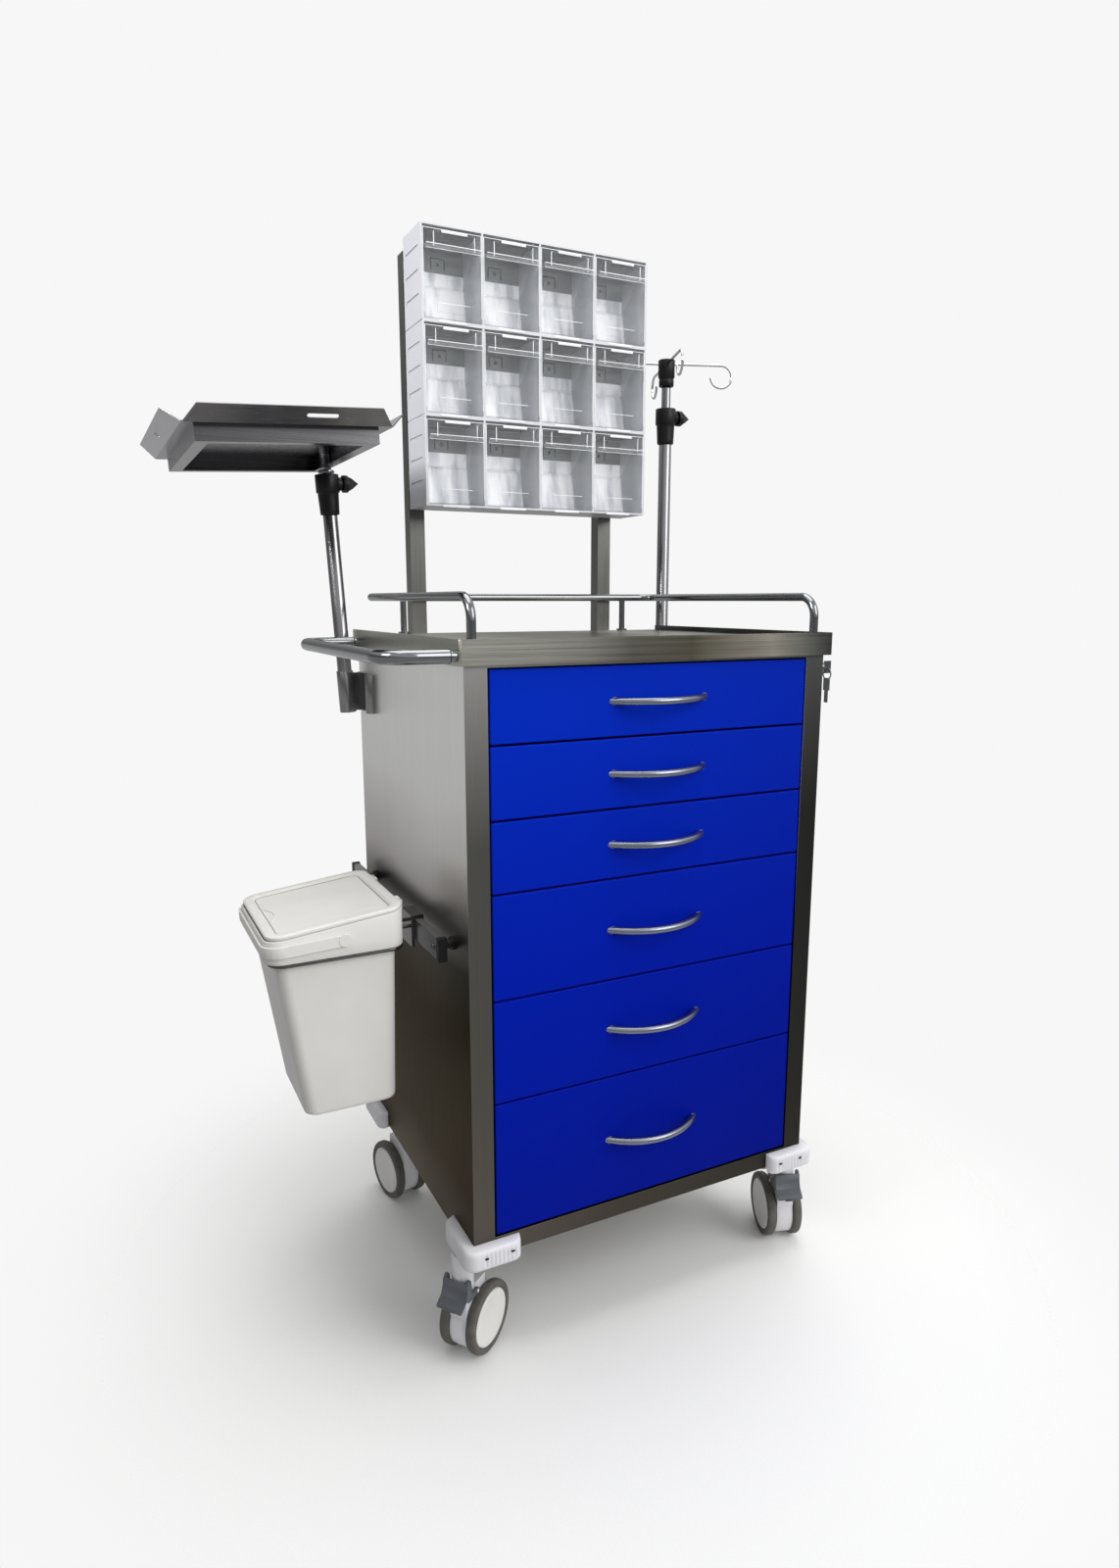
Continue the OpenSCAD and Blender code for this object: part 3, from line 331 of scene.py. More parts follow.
def clear_plastic():
    """Thin clear moulding: mostly see-through, milky at the edges, with streaks."""
    material, tree, shader = new_material("clear_plastic", Roughness=0.08, IOR=1.49)
    streak = noise(tree, (30.0, 30.0, 260.0), 3.0)
    tree.links.new(ramp(tree, streak, [(0.3, rgb(196, 200, 206)), (0.7, rgb(238, 241, 244))]),
                   shader.inputs["Base Color"])
    tree.links.new(spread(tree, streak, 0.05, 0.16), shader.inputs["Roughness"])
    edge = tree.nodes.new("ShaderNodeLayerWeight")
    edge.inputs["Blend"].default_value = 0.35
    tree.links.new(spread(tree, edge.outputs["Facing"], 0.07, 0.6, 0.1, 0.95), shader.inputs["Alpha"])
    bump(tree, shader, noise(tree, (45.0, 45.0, 45.0), 2.0), 0.05, 0.0006)
    return material


def build_materials():
    """Every material by its short name."""
    return {
        "cabinet": cabinet_steel(),
        "sheet_x": brushed("brushed_along_x", (LONG, FINE, FINE), rgb(214, 213, 208), rgb(186, 185, 181),
                           painted_bands=WORKTOP_PAINTED_REFLECTIONS),
        "sheet_y": brushed("brushed_along_y", (FINE, LONG, FINE), rgb(150, 149, 151), rgb(124, 123, 124)),
        "sheet_z": brushed("brushed_along_z", (FINE, FINE, LONG), rgb(116, 116, 113), rgb(100, 100, 97)),
        # painted light: the tray's sideways faces are given a lighter colour
        "tray": brushed("tray_steel", (LONG, FINE, FINE), rgb(112, 111, 114), rgb(92, 91, 94), (0.2, 0.28),
                        side_painted_light=rgb(160, 160, 165)),
        "tube": polished("polished_tube", rgb(130, 132, 134), 0.14),
        "tube_dark": polished("dull_tube", rgb(140, 139, 141), 0.22),
        "dark_wire": polished("dull_wire", rgb(96, 95, 94), 0.2),
        "wire": polished("chrome_wire", rgb(206, 207, 210), 0.1),
        "drawer_steel": polished("satin_steel", rgb(138, 143, 155), 0.28),
        "blue": blue_paint(),
        "clear": clear_plastic(),
        "sheet": painted_light_sheet(),
        "housing": housing_plastic(),
        "white": plastic("white_plastic", rgb(222, 222, 226), 0.4),
        "cream": plastic("off_white_plastic", rgb(231, 229, 225), 0.36, speck=0.08),
        "black": plastic("black_plastic", rgb(10, 10, 11), 0.42, strength=0.15, Specular_IOR_Level=0.3),
        "pedal": plastic("pedal_plastic", rgb(88, 92, 98), 0.5, strength=0.25),
        "disc": plastic("wheel_disc", rgb(222, 221, 218), 0.34),
        "tyre": rubber("tyre_rubber", rgb(72, 69, 65)),
        "card": plastic("label_card", rgb(236, 237, 240), 0.6, grain=1200.0),
        # painted shade: grey for the compartments' upper back walls
        "back": plastic("housing_inside_painted_shade", rgb(128, 134, 134), 0.5),
        # painted highlight: a faintly glowing white for the bins' edges
        "glint": plastic("painted_edge_glint", rgb(240, 242, 244), 0.2, strength=0.02,
                         Emission_Color=rgb(240, 242, 244), Emission_Strength=0.15),
        "seam": plastic("dark_seam", rgb(14, 14, 14), 0.6, Specular_IOR_Level=0.2),
        # painted shade: grey for the grooves of the bin's lid
        "painted_groove_shade": plastic("lid_painted_groove_shade", rgb(150, 148, 144), 0.6),
    }


MAT = build_materials()


# ---------------------------------------------------------------- mesh building

def add_piece(name, verts, faces, material, body):
    """A smooth shaded mesh with outward faces, riding on a body."""
    mesh = bpy.data.meshes.new(name)
    mesh.from_pydata([tuple(v) for v in verts], [], faces)
    cleaner = bmesh.new()
    cleaner.from_mesh(mesh)
    bmesh.ops.remove_doubles(cleaner, verts=cleaner.verts, dist=1e-6)
    bmesh.ops.recalc_face_normals(cleaner, faces=cleaner.faces)
    for face in cleaner.faces:
        face.smooth = True
    cleaner.to_mesh(mesh)
    cleaner.free()
    mesh.materials.append(material)
    piece = bpy.data.objects.new(name, mesh)
    bpy.context.scene.collection.objects.link(piece)
    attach(piece, body)
    return piece


def loft_data(rings, closed=False):
    """Vertices and faces of a skin over rings that all have the same number of points."""
    count = len(rings[0])
    verts = [point for ring in rings for point in ring]
    faces = []
    spans = len(rings) if closed else len(rings) - 1
    for i in range(spans):
        a = i * count
        b = (i + 1) % len(rings) * count
        for k in range(count):
            after = (k + 1) % count
            faces.append((a + k, a + after, b + after, b + k))
    if not closed:
        faces.append(tuple(reversed(range(count))))
        faces.append(tuple(range((len(rings) - 1) * count, len(rings) * count)))
    return verts, faces


def joined(parts):
    """One vertex and face list out of several."""
    verts, faces = [], []
    for part_verts, part_faces in parts:
        shift = len(verts)
        verts += part_verts
        faces += [tuple(i + shift for i in face) for face in part_faces]
    return verts, faces


def lathe_data(profile, place, segments=72):
    """Turns a closed (radius, height) outline about the local Z axis of place."""
    rings = []
    for k in range(segments):
        a = 2 * math.pi * k / segments
        rings.append([place @ Vector((r * math.cos(a), r * math.sin(a), h)) for r, h in profile])
    return loft_data(rings, closed=True)


def tube_data(points, radius, sides=14):
    """A round wire along points, with rounded ends."""
    rings = []
    side = None
    for i, point in enumerate(points):
        ahead = points[min(i + 1, len(points) - 1)] - points[max(i - 1, 0)]
        ahead.normalize()
        if side is None:
            side = ahead.orthogonal().normalized()
        side = (side - ahead * side.dot(ahead)).normalized()
        other = ahead.cross(side)
        ends = [(0.0, 1.0)]
        if i == 0:
            ends = [(-0.95, 0.3), (-0.6, 0.8), (0.0, 1.0)]
        elif i == len(points) - 1:
            ends = [(0.0, 1.0), (0.6, 0.8), (0.95, 0.3)]
        for along, width in ends:
            centre = point + ahead * along * radius
            rings.append([centre + (side * math.cos(a) + other * math.sin(a)) * radius * width
                          for a in (2 * math.pi * k / sides for k in range(sides))])
    return loft_data(rings)


def ring_tube(points, radius, sides=8):
    """A closed round bead along points that lie in one plane."""
    count = len(points)
    centre = sum(points, Vector()) / count
    up = (points[0] - centre).cross(points[count // 4] - centre).normalized()
    rings = []
    for i, point in enumerate(points):
        ahead = (points[(i + 1) % count] - points[i - 1]).normalized()
        out = ahead.cross(up)
        rings.append([point + (out * math.cos(a) + up * math.sin(a)) * radius
                      for a in (2 * math.pi * k / sides for k in range(sides))])
    return loft_data(rings, closed=True)


def rounded_outline(x0, x1, y0, y1, radius, steps=6):
    """Points round a rectangle with rounded corners, as (x, y)."""
    points = []
    for cx, cy, start in ((x1 - radius, y1 - radius, 0), (x0 + radius, y1 - radius, 90),
                          (x0 + radius, y0 + radius, 180), (x1 - radius, y0 + radius, 270)):
        for k in range(steps + 1):
            a = math.radians(start + 90 * k / steps)
            points.append((cx + radius * math.cos(a), cy + radius * math.sin(a)))
    return points


def block_data(low, high, radius, place=Matrix.Identity(4)):
    """A box with all its edges rounded."""
    maker = bmesh.new()
    bmesh.ops.create_cube(maker, size=1.0)
    size = Vector(high) - Vector(low)
    centre = (Vector(high) + Vector(low)) / 2
    for vert in maker.verts:
        vert.co = Vector(vert.co[i] * size[i] + centre[i] for i in range(3))
    bmesh.ops.bevel(maker, geom=maker.edges[:], offset=radius, segments=3, profile=0.5, affect="EDGES")
    verts = [place @ v.co for v in maker.verts]
    maker.verts.index_update()
    faces = [tuple(v.index for v in face.verts) for face in maker.faces]
    maker.free()
    return verts, faces


def axis_matrix(position, axis):
    """Local Z along axis, at position."""
    turn = Vector((0, 0, 1)).rotation_difference(Vector(axis)).to_matrix().to_4x4()
    return Matrix.Translation(Vector(position)) @ turn


def soften(node, width, segments=2):
    """Rounds a CAD node's sharp edges with modifiers."""
    weld = NODES[node].modifiers.new("weld", "WELD")
    weld.merge_threshold = 1e-6
    bevel = NODES[node].modifiers.new("edge", "BEVEL")
    bevel.width = width
    bevel.segments = segments
    bevel.limit_method = "ANGLE"
    bevel.angle_limit = math.radians(40)
    bevel.harden_normals = True


def dress(node, material, width=0.0, segments=2):
    """Gives a CAD node its material and, where width isn't 0, rounded edges."""
    slots = NODES[node].data.materials
    slots.clear()
    slots.append(MAT[material])
    if width:
        soften(node, width, segments)


# ---------------------------------------------------------------- CAD nodes that stay

def dress_cad_nodes():
    """Materials and edge rounding, in millimetres, of the CAD nodes that are shown."""
    plain = {
        "cabinet_shell": ("cabinet", 0.5), "base_frame": ("sheet_x", 0.5), "worktop": ("sheet_x", 0.8),
        "guard_rail": ("tube", 0.0), "push_handle": ("tube", 0.0), "drawer_runners": ("drawer_steel", 0.0),
        "rack_uprights": ("sheet_z", 0.6), "bin_housings": ("housing", 0.4),
        "accessory_rail": ("sheet_y", 0.8), "rail_fittings": ("black", 0.8),
        "pole_sockets": ("tube_dark", 0.4), "pole_collars": ("black", 0.8),
        "lock_housing": ("tube", 0.3), "lock_key": ("tube", 0.2), "fasteners": ("tube", 0.5),
        "iv_inner_tube": ("tube", 0.3), "iv_knob": ("black", 1.0), "tray_stem": ("tube", 0.3),
        "tray": ("tray", 0.3), "tray_knob": ("black", 1.0), "waste_hoop": ("dark_wire", 0.0),
        "waste_handle": ("cream", 0.8),
    }
    for node, (material, width) in plain.items():
        dress(node, material, width * MM)
    for node in NODES:
        if node.endswith("_box"):
            dress(node, "drawer_steel")
        elif node.startswith("tilt_bin"):
            dress(node, "clear", 0.5 * MM)
        elif node.endswith("_fork"):
            dress(node, "white", 1.5 * MM, 3)


# ---------------------------------------------------------------- drawer fronts

def build_drawer_front(number):
    """Folded front: a flat face, rounded edges and a hollow back."""
    node = f"drawer_{number}_front"
    low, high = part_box(node)
    # depth behind the face and inset from the outline, in millimetres
    stations = [(0.0, 2.4), (0.0, 1.9), (0.0, 1.3), (0.25, 0.6), (0.7, 0.15), (1.4, 0.0), (18.0, 0.0),
                (18.0, 3.0), (3.0, 3.0)]
    rings = []
    for depth, inset in stations:
        inset *= MM
        outline = rounded_outline(low.x + inset, high.x - inset, low.z + inset, high.z - inset, 1.2 * MM, 3)
        rings.append([Vector((x, low.y + depth * MM, z)) for x, z in outline])
    front = add_piece(f"face_of_drawer_{number}", *loft_data(rings), MAT["blue"], f"drawer_{number}")
    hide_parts(node)


# ---------------------------------------------------------------- casters

def wheel_profiles():
    """Outlines (radius, distance from the caster's middle) of the tyre and of the disc."""
    tyre = [(34, 14.2), (45.5, 13.9), (48.6, 15.1), (49.8, 17.6), (50, 21.3), (49.8, 25), (48.6, 27.4),
            (46, 28.6), (42.4, 28.5), (40.6, 27.5), (40, 25.8), (34, 25.8)]
    disc = [(0, 14.5), (0, 25.6), (12, 25.9), (24, 26.7), (33, 27.7), (37.2, 28.1), (39, 27.6), (39.6, 26.2),
            (39.4, 16), (34, 14.5)]
    return tyre, disc


def build_wheels(corner):
    """Two tyres with dished discs, turned about the wheels' own axis."""
    joint = JOINTS[f"wheels_{corner}_spin"]
    place = axis_matrix(joint["pos_m"], joint["axis"])
    flip = Matrix.Scale(-1, 4, (0, 0, 1))
    tyre, disc = [[(r * MM, h * MM) for r, h in outline] for outline in wheel_profiles()]
    body = f"wheels_{corner}"
    tyres = add_piece(f"tyres_{corner}", *joined([lathe_data(tyre, place), lathe_data(tyre, place @ flip)]),
                      MAT["tyre"], body)
    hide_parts(f"caster_{corner}_wheels")
    faces = joined([lathe_data(disc, place), lathe_data(disc, place @ flip)])
    discs = add_piece(f"wheel_discs_{corner}", *faces, MAT["disc"], body)


def bumper_sections(leg_x, leg_y, out):
    """Stations round the corner as (inner point, outward direction, depth, is_rib)."""
    end = 14 * MM
    step = 1.5 * MM
    turns = 12

    def depth(distance):
        """How far the cover stands out at a distance from its rounded end."""
        if distance >= end:
            return out
        t = 1 - distance / end
        return out - end + end * math.sqrt(max(0.0, 1 - t * t))

    stations = []
    count = int(leg_x / step)
    for k in range(count + 1):
        x = leg_x - leg_x * k / count
        rib = 8 * MM < x < 56 * MM and k % 4 < 2
        stations.append((Vector((x, 0, 0)), Vector((0, -1, 0)), depth(leg_x - x), rib))
    for k in range(1, turns):
        a = math.radians(90 * k / turns)
        stations.append((Vector((0, 0, 0)), Vector((-math.sin(a), -math.cos(a), 0)), out, False))
    count = int(leg_y / (2 * step))
    for k in range(count + 1):
        y = leg_y * k / count
        stations.append((Vector((0, y, 0)), Vector((-1, 0, 0)), depth(leg_y - y), False))
    return stations


def build_bumpers():
    """Soft L-shaped corner covers, hollow underneath, with grip ribs in front."""
    low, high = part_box("corner_bumpers")
    body_low, body_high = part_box("cabinet_shell")
    out = body_low.x - low.x
    height = high.z - low.z
    leg_x, leg_y = 66 * MM, 76 * MM
    full_height = 32 * MM
    rib_depth = 1.3 * MM
    parts = []
    # section of a leg in millimetres, as (distance out, height)
    outline = [(0, 7.4), (13.2, 7.4), (13.2, 0.6), (14.2, 0), (15.4, 0.6), (16.6, 3), (17, 7), (17, 12),
               (17, 17), (17, 22), (16.4, 26.5), (14.8, 29.8), (12, 31.5), (6, 32), (0, 32)]
    for sx in (-1, 1):
        for sy in (-1, 1):
            corner = Vector((sx * body_high.x, sy * body_high.y, low.z))
            rings = []
            for point, outward, depth, rib in bumper_sections(leg_x, leg_y, out):
                ring = []
                for d, z in outline:
                    d = d * MM * depth / out
                    if rib and 6 < z < 24 and d > 14 * MM:
                        d -= rib_depth
                    local = point + outward * d
                    up = z * MM * height / full_height
                    ring.append(corner + Vector((-sx * local.x, -sy * local.y, up)))
                rings.append(ring)
            parts.append(loft_data(rings))
    covers = add_piece("bumper_covers", *joined(parts), MAT["white"], "cart")
    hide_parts("corner_bumpers")
    edge = covers.modifiers.new("smooth_edges", "BEVEL")
    edge.width = 0.8 * MM
    edge.segments = 2
    edge.limit_method = "ANGLE"
    edge.angle_limit = math.radians(50)
    slots = []
    half = Vector((2.6, 0.7, 1.3)) * MM
    for sx in (-1, 1):
        for x in (12, 50):
            middle = Vector((sx * (body_high.x - x * MM), low.y - 0.2 * MM, low.z + 17 * MM))
            slots.append(block_data(middle - half, middle + half, 0.5 * MM))
    add_piece("bumper_slots", *joined(slots), MAT["seam"], "cart")


def slab_data(outline, y0, y1, edge, place):
    """An (x, z) outline in millimetres with a thickness from y0 to y1 and eased rims."""
    centre = sum((Vector(point) for point in outline), Vector((0, 0))) / len(outline)
    rings = []
    for y, inset in ((y0, edge), (y0 + edge, 0), (y1 - edge, 0), (y1, edge)):
        ring = []
        for point in outline:
            point = Vector(point)
            point += (centre - point).normalized() * inset
            ring.append(place @ (Vector((point.x, y, point.y)) * MM))
        rings.append(ring)
    return loft_data(rings)


def build_pedal(corner):
    """Bent foot plate with grip ribs on its lower half, two arms and a release tab under it."""
    joint = JOINTS[f"caster_{corner}_swivel"]
    wheel = JOINTS[f"wheels_{corner}_spin"]
    ahead = Vector(wheel["pos_m"]) - Vector(joint["pos_m"])
    turn = math.atan2(ahead.y, ahead.x)
    place = Matrix.Translation((joint["pos_m"][0], joint["pos_m"][1], 0)) @ Matrix.Rotation(turn, 4, "Z")
    knee = Vector((-24.0, 0, 108.5))
    half = 20
    # sections in millimetres as (x, z): the swivel axis is at 0, the wheels trail towards +X
    plate = [(-16.4, 129.5), (-17.2, 130.6), (-18.4, 129.8), (-20.2, 119), (knee.x, knee.z), (-35, 100.8),
             (-36.6, 98.6), (-36.2, 96.6), (-34, 97.4), (-23.4, 104.4), (-18.4, 113), (-16.6, 121)]
    parts = [slab_data(plate, -half, half, 0.6, place)]
    slope = place @ Matrix.Translation(knee * MM) @ Matrix.Rotation(math.radians(-35), 4, "Y")
    for k in range(4):
        x = -2.5 - 2.9 * k
        rib_low = Vector((x - 0.8, -half + 1.4, -0.5)) * MM
        rib_high = Vector((x + 0.8, half - 1.4, 0.55)) * MM
        parts.append(block_data(rib_low, rib_high, 0.3 * MM, slope))
    pivot_x, pivot_z, eye = 8, 105, 4.5
    arm = []
    for k in range(17):
        a = math.radians(-90 + 180 * k / 16)
        arm.append((pivot_x + eye * math.cos(a), pivot_z + eye * math.sin(a)))
    arm += [(-4, 111), (-8, 120), (-9.5, 131), (-11.5, 134), (-15, 134.4), (-17, 132), (-18.4, 124),
            (-22, 110), (-21, 105), (-14, 101)]
    for y0, y1 in ((-19.8, -15.6), (15.6, 19.8)):
        parts.append(slab_data(arm, y0, y1, 0.5, place))
    pedal = add_piece(f"foot_pedal_{corner}", *joined(parts), MAT["pedal"], f"pedal_{corner}")
    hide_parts(f"caster_{corner}_pedal")
    block = block_data((-0.031, -0.006, 0.09), (-0.024, 0.006, 0.1), 1.2 * MM, place)
    tab = add_piece(f"pedal_tab_{corner}", *block, MAT["black"], f"pedal_{corner}")


# ---------------------------------------------------------------- waste bin

LID_HINGE = Vector(JOINTS["bin_lid_hinge"]["pos_m"])
LID_SLANT = math.radians(6.5)
# the rim's back edge is this far in front of the hinge pin and below it
RIM_BACK, RIM_DROP = 3 * MM, 1 * MM
# half the bin along the cart, and its height up to the step under the rim
BIN_HALF, BIN_STEP = 98 * MM, 221 * MM


def waste_outline(inset, radius):
    """Rounded outline of the bin; inset is for the front, the back and the two ends."""
    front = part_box("waste_bin")[0].x
    back = LID_HINGE.x - RIM_BACK
    front_inset, back_inset, end_inset = inset
    half = BIN_HALF - end_inset
    return rounded_outline(front + front_inset, back - back_inset, LID_HINGE.y - half, LID_HINGE.y + half,
                           radius, 7)


def rim_top(x):
    """Height of the rim's slanted top edge."""
    return LID_HINGE.z - RIM_DROP + (x - LID_HINGE.x + RIM_BACK) * math.tan(LID_SLANT)


def build_waste_bin():
    """Tapered bucket with a stepped rim, skinned outside and inside."""
    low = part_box("waste_bin")[0]
    rim_z = low.z + BIN_STEP
    rings = []

    def level(z, inset, radius, below_top=None):
        """Adds an outline at height z or, in millimetres, below the slanted top edge."""
        inset = [v * MM for v in inset]
        ring = []
        for x, y in waste_outline(inset, radius * MM):
            ring.append(Vector((x, y, z if below_top is None else rim_top(x) - below_top * MM)))
        rings.append(ring)

    def taper(fraction, skin=0.0):
        """Insets of the tapered wall in millimetres, from its foot (0) to the rim (1)."""
        return (44 - 32 * fraction + skin, 10 - fraction + skin, 28 - 16 * fraction + skin)

    for z, extra in ((0.0, 5.0), (0.6, 2.2), (2.0, 0.7), (5.0, 0.0)):
        level(low.z + z * MM, [v + extra for v in taper(0.0)], 16)
    for fraction in (0.03, 0.35, 0.7, 0.97):
        level(low.z + fraction * BIN_STEP, taper(fraction), 16)
    level(rim_z - 1.5 * MM, taper(1.0), 16)
    level(rim_z + 0.2 * MM, (4, 3, 4), 19)
    level(rim_z + 0.8 * MM, (1.0, 0.8, 1.0), 21.4)
    level(rim_z + 2.5 * MM, (0, 0, 0), 22)
    level(rim_z + 14 * MM, (0, 0, 0), 22)
    level(0, (0, 0, 0), 22, below_top=1.6)
    level(0, (0.5, 0.5, 0.5), 21.6, below_top=0.3)
    level(0, (1.4, 1.4, 1.4), 21, below_top=0.0)
    level(0, (2.6, 2.6, 2.6), 20.4, below_top=0.3)
    level(0, (3, 3, 3), 20, below_top=1.6)
    level(rim_z + 4 * MM, (3, 3, 3), 20)
    level(rim_z + 2.4 * MM, taper(1.0, 3.4), 16)
    for fraction in (0.95, 0.6, 0.25, 0.03):
        level(low.z + fraction * BIN_STEP, taper(fraction, 2.3), 15)
    level(low.z + 3 * MM, taper(0.0, 4.5), 14)
    parts = [loft_data(rings)]
    # two pairs of lugs that carry the hinge pin
    for side in (-60, 60):
        for offset in (-4.2, 4.2):
            middle = LID_HINGE + Vector((0, side + offset, 0)) * MM
            parts.append(block_data(middle + Vector((-4.2, -0.9, -11)) * MM,
                                    middle + Vector((2.2, 0.9, 2)) * MM, 0.5 * MM))
    bin_piece = add_piece("waste_bucket", *joined(parts), MAT["cream"], "waste_bin")
    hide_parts("waste_bin")


def build_waste_lid():
    """Slanted lid with a sunken panel, a thumb mark and two hinge knuckles."""
    length, gap = 173.5 * MM, 0.3 * MM
    top = LID_HINGE + Vector((-RIM_BACK, 0, gap - RIM_DROP))
    place = Matrix.Translation(top) @ Matrix.Rotation(-LID_SLANT, 4, "Y")
    x0, x1 = -length - 0.5 * MM, -0.5 * MM

    def level(inset, z, radius):
        """One outline of the lid in millimetres, inset from its edge."""
        inset *= MM
        half = BIN_HALF - inset
        ring = rounded_outline(x0 + inset, x1 - inset, -half, half, radius * MM, 7)
        return [place @ Vector((x, y, z * MM)) for x, y in ring]

    rings = []
    for station in ((3.4, 0.0, 18.6), (0.6, 0.0, 21.4), (0.1, 0.6, 21.9), (0, 2, 22), (0, 3.8, 22),
                    (0.5, 4.7, 21.5), (1.6, 5.0, 20.4), (9.5, 5.0, 14.5), (12.0, 4.6, 13.5),
                    (13.4, 3.0, 12.5), (14.6, 2.2, 11.5), (17, 2.0, 10)):
        rings.append(level(*station))
    parts = [loft_data(rings)]
    arc = []
    for k in range(17):
        bow = 18 + 9 * math.sin(math.pi * k / 16)
        arc.append(place @ Vector((x0 + bow * MM, (-26 + 52 * k / 16) * MM, 2.3 * MM)))
    parts.append(tube_data(arc, 1.1 * MM, 10))
    outline = [(0, -3.4), (2.2, -3.4), (2.5, -3), (2.5, 3), (2.2, 3.4), (0, 3.4)]
    knuckle = [(r * MM, h * MM) for r, h in outline]
    for side in (-49.5, 49.5):
        middle = LID_HINGE + Vector((0, side, 0)) * MM
        parts.append(lathe_data(knuckle, axis_matrix(middle, (0, 1, 0)), 24))
        parts.append(block_data(middle + Vector((-5, -3, 0)) * MM, middle + Vector((-0.5, 3, 2.4)) * MM,
                                0.6 * MM))
    # painted shade: grey lines in the groove round the lid's edge and round its sunken panel
    lines = [ring_tube(level(1.1, -0.1, 20.9), 0.5 * MM), ring_tube(level(15.2, 2.3, 11), 0.55 * MM)]
    add_piece("lid_painted_shade_lines", *joined(lines), MAT["painted_groove_shade"], "bin_lid")
    lid = add_piece("waste_bin_lid", *joined(parts), MAT["cream"], "bin_lid")
    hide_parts("waste_lid")


# ---------------------------------------------------------------- infusion pole head

def build_iv_head():
    """Tapered ribbed head with a groove, and four wire hooks that end in open loops."""
    foot = Vector(JOINTS["iv_hooks_turn"]["pos_m"]) - Vector((0, 0, 10 * MM))
    # section of the head in millimetres, as (radius, height)
    profile = [(8.3, 0.4), (12.4, 0), (13.2, 0.8), (13.3, 10), (12.7, 11), (12.7, 12.5), (13.5, 13.5),
               (14.5, 30), (15, 43), (14.2, 44.6), (12, 45), (4, 45), (0, 45), (0, 32), (8.3, 31.5)]
    outline = [(r * MM, h * MM) for r, h in profile]
    parts = [lathe_data(outline, Matrix.Translation(foot), 48)]
    rib = (Vector((13.2, -0.8, 15)) * MM, Vector((14.6, 0.8, 30)) * MM, 0.5 * MM)
    ribs = 12
    for k in range(ribs):
        place = Matrix.Translation(foot) @ Matrix.Rotation(2 * math.pi * k / ribs, 4, "Z")
        parts.append(block_data(*rib, place))
    head = add_piece("hook_head", *joined(parts), MAT["black"], "iv_hooks")
    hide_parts("iv_hook_head")
    wires = []
    reach, loop, wire_radius = 100 * MM, 19 * MM, 2.2 * MM
    for degrees in (-20, 70, 160, 250):
        place = Matrix.Translation(foot + Vector((0, 0, 38 * MM)))
        place = place @ Matrix.Rotation(math.radians(degrees), 4, "Z")
        path = [place @ Vector((x * MM, 0, 0)) for x in (10, 40, 70, 90)]
        for k in range(37):
            a = math.radians(90 - 265 * k / 36)
            path.append(place @ Vector((reach + loop * math.cos(a), 0, -loop + loop * math.sin(a))))
        wires.append(tube_data(path, wire_radius, 12))
    hooks = add_piece("wire_hooks", *joined(wires), MAT["wire"], "iv_hooks")


# ---------------------------------------------------------------- bins

def bin_back_sheet(pivot):
    """Slightly wavy sheet on the inside of a bin's sloping back wall, carrying painted streaks of light."""
    foot = Vector((0, 52.6 * MM, -3.0 * MM))
    top = Vector((0, 63.8 * MM, 58.5 * MM))
    half = 43.5 * MM
    thick = 0.7 * MM
    ripple = 0.25 * MM
    columns, rows = 24, 12
    rings = []
    for r in range(rows + 1):
        middle = foot.lerp(top, r / rows)
        front, back = [], []
        for c in range(columns + 1):
            wave = ripple * math.sin(c * 1.3) * math.sin(r * 0.9)
            point = pivot + Vector((half * (2 * c / columns - 1), middle.y + wave, middle.z))
            front.append(point)
            back.append(point + Vector((0, thick, 0)))
        rings.append(front + back[::-1])
    return loft_data(rings)


def bin_painted_glints(pivot):
    """Painted highlights that glow along a clear bin's edges: finger ledge, card frame and side edges."""
    # x, y and z ranges from the bin's pivot, in millimetres
    bars = [
        (-43.5, 43.5, -14.0, -13.1, 94.5, 95.4), (-43.5, 43.5, -14.0, -13.2, 88.0, 88.6),
        (-46.2, -45.5, -6.0, -5.2, 2.0, 117.0), (45.5, 46.2, -6.0, -5.2, 2.0, 117.0),
        (-30.3, -29.5, -7.9, -7.2, 93.0, 113.5), (34.3, 35.1, -7.9, -7.2, 93.0, 113.5),
        (-46.0, 46.0, -6.0, -5.3, 117.2, 118.0), (-25.5, 25.5, -7.4, -6.8, 16.2, 17.0)]
    parts = []
    for x0, x1, y0, y1, z0, z1 in bars:
        low = pivot + Vector((x0, y0, z0)) * MM
        high = pivot + Vector((x1, y1, z1)) * MM
        parts.append(block_data(low, high, 0.25 * MM))
    return parts


# catch on a housing's back wall: two legs, a bar and a dot, as x0, x1, z0, z1 in millimetres
CATCH_BARS = ((-12, -10, 95, 112), (10, 12, 95, 112), (-12, 12, 110, 112), (-2.2, 2.2, 100, 105))


